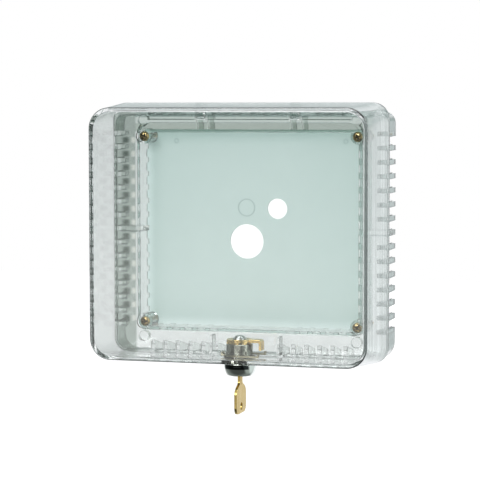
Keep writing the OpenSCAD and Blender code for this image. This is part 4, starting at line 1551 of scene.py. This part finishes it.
@dataclass
class CamLock:
    """The lock's fixed parts on the cover: barrel, trim cup and spring clip."""

    face: float = -101.171
    seat: float = -91.771
    top: float = -78.371
    clip_low: float = -87.102
    clip_t: float = 1.2
    barrel_r: float = 9.5
    groove_r: float = 8.3
    bore_r: float = 6.05
    nose_r: float = 8.0
    flange_r: float = 11.0
    flange_t: float = 1.5
    head_r: float = 6.85
    head_t: float = 1.05
    clip_in: float = 8.35
    clip_band: float = 2.4
    clip_left: float = -12.95
    clip_right: float = 16.75
    clip_tab: float = 3.2
    clip_lip: float = 2.6
    clip_soft: float = 0.28
    line_up: float = 3.6
    lug: tuple[float, float, float] = (0.8, 7.0, 10.3)
    stop: tuple[float, float, float] = (0.8, 8.4, 9.3)
    stop_turns_deg: Range = (162.36, 287.64)
    cup_wall: float = 0.95
    cup_gap: float = 0.05
    cup_foot: Outline = (
        (-0.1, 0.0), (0.35, 0.18), (0.75, 0.7), (1.35, 1.6), (1.9, 2.7), (2.4, 4.1))
    cup_side: Outline = ((-0.22, 5.4), (-0.03, 6.3), (0.0, 6.9))
    cup_rim: Outline = ((-0.1, -1.0), (-0.32, -0.15), (-0.5, 0.0))

    def barrel(self) -> None:
        """Makes the barrel with its flange, nose, clip groove, key lug and the two stops for the washer."""
        r, low, soft = self.barrel_r, self.clip_low, 0.3
        line = self.clip_low + self.line_up
        barrel = Solid.turned([
            (self.bore_r, self.top), (r - soft, self.top), (r, self.top - soft), (r, line + 0.45),
            (r - 0.3, line + 0.25), (r - 0.3, line - 0.25), (r, line - 0.45), (r, low + self.clip_t + 0.1),
            (self.groove_r, low + self.clip_t + 0.1), (self.groove_r, low), (r, low), (r, self.seat),
            (self.flange_r - 0.2, self.seat), (self.flange_r, self.seat - 0.2),
            (self.flange_r, self.seat - self.flange_t), (self.nose_r, self.seat - self.flange_t),
            (self.nose_r, self.face + 0.4), (self.nose_r - 0.4, self.face), (self.head_r + 0.1, self.face),
            (self.head_r, self.face + 0.1), (self.head_r, self.face + self.head_t),
            (self.bore_r, self.face + self.head_t)], AT_LOCK, hollow=True, steps=96)
        y, (half, near, far) = AT_LOCK.translation.y, self.lug
        barrel.join(Solid.box((-half, y + near, self.seat - 0.7), (half, y + far, low), 0.15))
        half, near, far = self.stop
        for turn in self.stop_turns_deg:
            stop = Solid.box((near, -half, self.top - 0.4), (far, half, self.top + 0.85), 0.1)
            barrel.join(stop.moved(AT_LOCK @ Matrix.Rotation(math.radians(turn), 4, "Z")))
        piece = barrel.finish("lock_barrel", Finish.CHROME, smooth_deg=30.0)
        place_piece(piece, "cover", ["lock_housing"])

    def trim_cup(self) -> None:
        """Makes the bright cup round the lock's head."""
        wide, foot, mouth = self.flange_r + self.cup_wall, self.nose_r + self.cup_wall, self.face + 0.3
        inner, flange = self.nose_r + self.cup_gap, self.flange_r + self.cup_gap
        under = self.seat - self.flange_t - self.cup_gap
        outline = [(inner, mouth)] + [(foot + out, mouth + up) for out, up in self.cup_foot]
        outline += [(wide + out, mouth + up) for out, up in self.cup_side]
        outline += [(wide + out, self.seat + up) for out, up in self.cup_rim]
        outline += [(flange, self.seat), (flange, under), (inner, under)]
        cup = Solid.turned(outline, AT_LOCK, hollow=True, steps=96)
        piece = cup.finish("lock_trim_cup_shell", Finish.CUP, smooth_deg=50.0)
        place_piece(piece, "cover", ["lock_trim_cup"])

    def clip(self) -> None:
        """Makes the spring clip: a bent band round the groove, two prongs and a turned-up closed end."""
        low = self.clip_low + 0.05
        high, lip = low + self.clip_t, low + self.clip_lip
        near, far = self.clip_in, self.clip_in + self.clip_band
        clip = Solid()
        corners = ((near, low), (far, low), (far, high), (near, high))
        section = [clip.mesh.verts.new((0, y, z)) for y, z in corners]
        start = clip.mesh.faces.new(section)
        bmesh.ops.spin(clip.mesh, geom=[start, *start.edges, *section], cent=(0, 0, 0), axis=(0, 0, 1),
                       angle=math.pi, steps=28)
        ends = [face for face in clip.mesh.faces if all(abs(point.co.x) < DOUBLES for point in face.verts)]
        for face in ends:
            for reach in (self.clip_right - self.clip_t, self.clip_t):
                face = bmesh.ops.extrude_discrete_faces(clip.mesh, faces=[face])["faces"][0]
                bmesh.ops.translate(clip.mesh, vec=(reach, 0, 0), verts=face.verts)
        tips = self.clip_right - 1.5 * self.clip_t
        lids = [face for face in clip.mesh.faces if min(point.co.x for point in face.verts) > tips
                and all(abs(point.co.z - high) < DOUBLES for point in face.verts)]
        for lid in lids:
            raised = bmesh.ops.extrude_discrete_faces(clip.mesh, faces=[lid])["faces"][0]
            bmesh.ops.translate(clip.mesh, vec=(0, 0, lip - high), verts=raised.verts)
        left, tab = self.clip_left, self.clip_tab
        bow = Solid.box((left, -tab, low), (-near - 0.4, tab, high))
        bow.join(Solid.box((left, -tab, low), (left + self.clip_t, tab, lip)))
        clip.tidy().join(bow).soften(self.clip_soft, 2, 50.0).moved(AT_LOCK)
        place_piece(clip.finish("spring_clip", Finish.SPRING), "cover", ["lock_clip"])

    def build(self) -> None:
        """Makes the three parts."""
        self.barrel()
        self.trim_cup()
        self.clip()


@dataclass
class CamStack:
    """What turns with the key: cam, washer and screw, and the wafers' springs inside the plug."""

    cam_low: float = -77.271
    cam_high: float = -75.071
    hub_r: float = 9.3
    arm_half: float = 4.0
    arm_end: float = 17.0
    hook_in: float = 15.0
    hook_low: float = -82.671
    drive_r: float = 3.9
    drive_flat: float = 3.1
    washer_r: float = 5.0
    washer_t: float = 0.8
    washer_hole_r: float = 1.85
    screw_r: float = 3.6
    screw_h: float = 1.8
    shank: Outline = ((0.0, -80.4), (1.4, -80.4), (1.7, -80.1))
    slot: tuple[float, float, float] = (2.1, 0.42, 1.0)
    slot_turns_deg: Range = (20.0, 110.0)
    wire_r: float = 0.14
    coil_r: float = 0.58
    coil_rounds: int = 7
    coil_steps: int = 14
    wafers: int = 5
    spring_x: float = 3.4
    spring_start: float = 0.6
    spring_end: float = -3.35
    first_wafer: float = -97.171
    wafer_pitch: float = 2.5

    def cam(self) -> None:
        """Makes the cam: a round hub, an arm bent down at its end, and the flatted hole for the plug."""
        high, low, half = self.cam_high, self.cam_low, self.arm_half
        cam = Solid.rod((0, 0, low), (0, 0, high), self.hub_r, soft=0.3, steps=96)
        arm = Solid.plate([(0, high, 0), (self.arm_end, high, 2.2), (self.arm_end, self.hook_low, 0),
                           (self.hook_in, self.hook_low, 0), (self.hook_in, low, 0.6), (0, low, 0)],
                          2 * half, FACING_ROOM, 8).soften(0.3, 2, 50.0)
        cam.join(arm)
        flats = Solid.rod((0, 0, low - 1), (0, 0, high + 1), self.drive_r)
        flats.combine(Solid.box((-9, -self.drive_flat, low - 2), (9, self.drive_flat, high + 2)), "INTERSECT")
        cam.cut(flats).moved(AT_LOCK)
        place_piece(cam.finish("hooked_cam", Finish.BRASS), "lock_plug", ["lock_cam"])

    def washer_and_screw(self) -> None:
        """Makes the washer and the pan-head screw on the cam."""
        seat, hole = self.cam_high, self.washer_hole_r
        washer = Solid.turned([(hole, seat), (self.washer_r - 0.1, seat), (self.washer_r, seat + 0.15),
                               (self.washer_r - 0.15, seat + self.washer_t), (hole, seat + self.washer_t)],
                              AT_LOCK, hollow=True, steps=64)
        piece = washer.finish("cam_washer_disc", Finish.STEEL)
        place_piece(piece, "lock_plug", ["cam_washer"])
        low, high, shank_r = seat + self.washer_t, seat + self.washer_t + self.screw_h, self.shank[-1][0]
        screw = Solid.turned([*self.shank, (shank_r, low), (self.screw_r - 0.2, low),
                              (self.screw_r, low + 0.25), (self.screw_r - 0.15, low + 0.9),
                              (self.screw_r - 0.75, high - 0.25), (self.screw_r - 1.8, high - 0.02),
                              (0, high)],
                             Matrix.Identity(4), steps=48)
        half_l, half_w, depth = self.slot
        for turn in self.slot_turns_deg:
            arm = Solid.box((-half_l, -half_w, high - depth), (half_l, half_w, high + 0.5))
            screw.cut(arm.moved(Matrix.Rotation(math.radians(turn), 4, "Z")))
        screw.moved(AT_LOCK)
        place_piece(screw.finish("cam_screw_head", Finish.STEEL), "lock_plug", ["cam_screw"])

    def springs(self) -> None:
        """Makes the five small coil springs under the wafers' tabs."""
        wire, rounds, steps = self.wire_r, self.coil_rounds, self.coil_steps
        rise = (self.spring_start - self.spring_end - 2 * wire) / rounds
        for number in range(self.wafers):
            coil = Solid()
            across = Matrix.Translation((self.coil_r, 0, 0)) @ FACING_ROOM
            ring = bmesh.ops.create_circle(coil.mesh, cap_ends=True, segments=6, radius=wire,
                                           matrix=across)["verts"]
            start = coil.mesh.faces[:][0]
            bmesh.ops.spin(coil.mesh, geom=[start, *start.edges, *ring], cent=(0, 0, 0), axis=(0, 0, 1),
                           angle=math.tau * rounds, dvec=(0, 0, rise / steps), steps=rounds * steps)
            bmesh.ops.recalc_face_normals(coil.mesh, faces=coil.mesh.faces)
            place = (self.spring_x, self.spring_start - wire, self.first_wafer + number * self.wafer_pitch)
            coil.moved(AT_LOCK @ Matrix.Translation(place) @ FACING_ROOM)
            place_piece(coil.finish(f"wafer_coil_{number + 1}", Finish.STEEL), "lock_plug",
                        [f"wafer_spring_{number + 1}"])

    def build(self) -> None:
        """Makes the cam, its washer and screw, and the springs."""
        self.cam()
        self.washer_and_screw()
        self.springs()


@dataclass
class Key:
    """The flat brass key: a cut and grooved blade, sloping shoulders and a long bow with a ring hole."""

    thickness: float = 1.9
    blade_half: float = 3.1
    tip: float = -84.171
    shoulder: float = -106.771
    bow_half: float = 12.0
    bow_low: float = -128.171
    bow_r: float = 5.0
    bow_shoulder: float = 6.0
    hole_z: float = -123.371
    hole_r: float = 2.7
    bittings: tuple[float, ...] = (0.4, 1.0, 0.6, 1.4, 0.8)
    first_cut: float = -97.171
    cut_pitch: float = 2.5
    cut_flat: float = 0.6
    groove_y: float = -0.9
    groove_half: float = 0.6
    groove_depth: float = 0.35
    soft: float = 0.22
    soft_deg: float = 28.0

    def build(self) -> None:
        """Makes the key."""
        half, tip, top = self.blade_half, self.tip, self.shoulder
        bend, widest, bow = top - self.bow_shoulder / 2, top - self.bow_shoulder, self.bow_half
        key = Solid.plate([
            (half, tip - 2.0, 0), (half - 2.4, tip, 0), (-half + 1.4, tip, 0), (-half, tip - 1.4, 0),
            (-half, top, 1.5), (-bow + self.bow_r / 2, bend, 1.2), (-bow, widest, 1.6),
            (-bow, self.bow_low, self.bow_r), (bow, self.bow_low, self.bow_r), (bow, widest, 1.6),
            (bow - self.bow_r / 2, bend, 1.2), (half, top, 1.5)],
            self.thickness, ALONG_X, 8)
        side = self.thickness
        key.cut(Solid.rod((-side, 0, self.hole_z), (side, 0, self.hole_z), self.hole_r, steps=48))
        for number, depth in enumerate(self.bittings):
            z = self.first_cut + number * self.cut_pitch
            key.cut(Solid.plate([(half - depth, z - self.cut_flat, 0), (half - depth, z + self.cut_flat, 0),
                                 (half + 1, z + self.cut_flat + 1 + depth, 0),
                                 (half + 1, z - self.cut_flat - 1 - depth, 0)], 2 * side, ALONG_X))
        key.soften(self.soft, 2, self.soft_deg)
        for face in (-self.thickness / 2, self.thickness / 2):
            key.cut(Solid.box((face - self.groove_depth, self.groove_y - self.groove_half, top - 1.0),
                              (face + self.groove_depth, self.groove_y + self.groove_half, tip + 1), 0.15))
        place_piece(key.moved(AT_LOCK).finish("brass_key", Finish.KEY), "key", ["key"])


KEPT_NODES = ["lock_plug", "stop_washer", *(f"wafer_{number}" for number in range(1, 6))]
WELD, BROKEN_EDGE, SHARP_DEG = 0.002, 0.08, 40.0


def dress_kept_nodes() -> None:
    """Gives the CAD nodes that stay a brass finish and slightly broken edges."""
    for name in KEPT_NODES:
        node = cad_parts[name]
        node.data.materials.clear()
        node.data.materials.append(Finish.BRASS.material())
        weld = node.modifiers.new("weld", "WELD")
        weld.merge_threshold = WELD * MM
        edge = node.modifiers.new("broken_edges", "BEVEL")
        edge.width, edge.segments = BROKEN_EDGE * MM, 1
        edge.limit_method, edge.angle_limit = "ANGLE", math.radians(SHARP_DEG)
        log.info("%s: kept, %s", name, Finish.BRASS.value.name)


def main() -> None:
    """Builds the pieces and the studio."""
    logging.basicConfig(level=logging.INFO)
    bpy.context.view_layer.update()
    Studio().build()
    for group in (Cover(), ClearRing(), WallPlate(), WallScrews(), CamLock(), CamStack(), Key()):
        group.build()
    dress_kept_nodes()


if __name__ == "__main__":
    main()
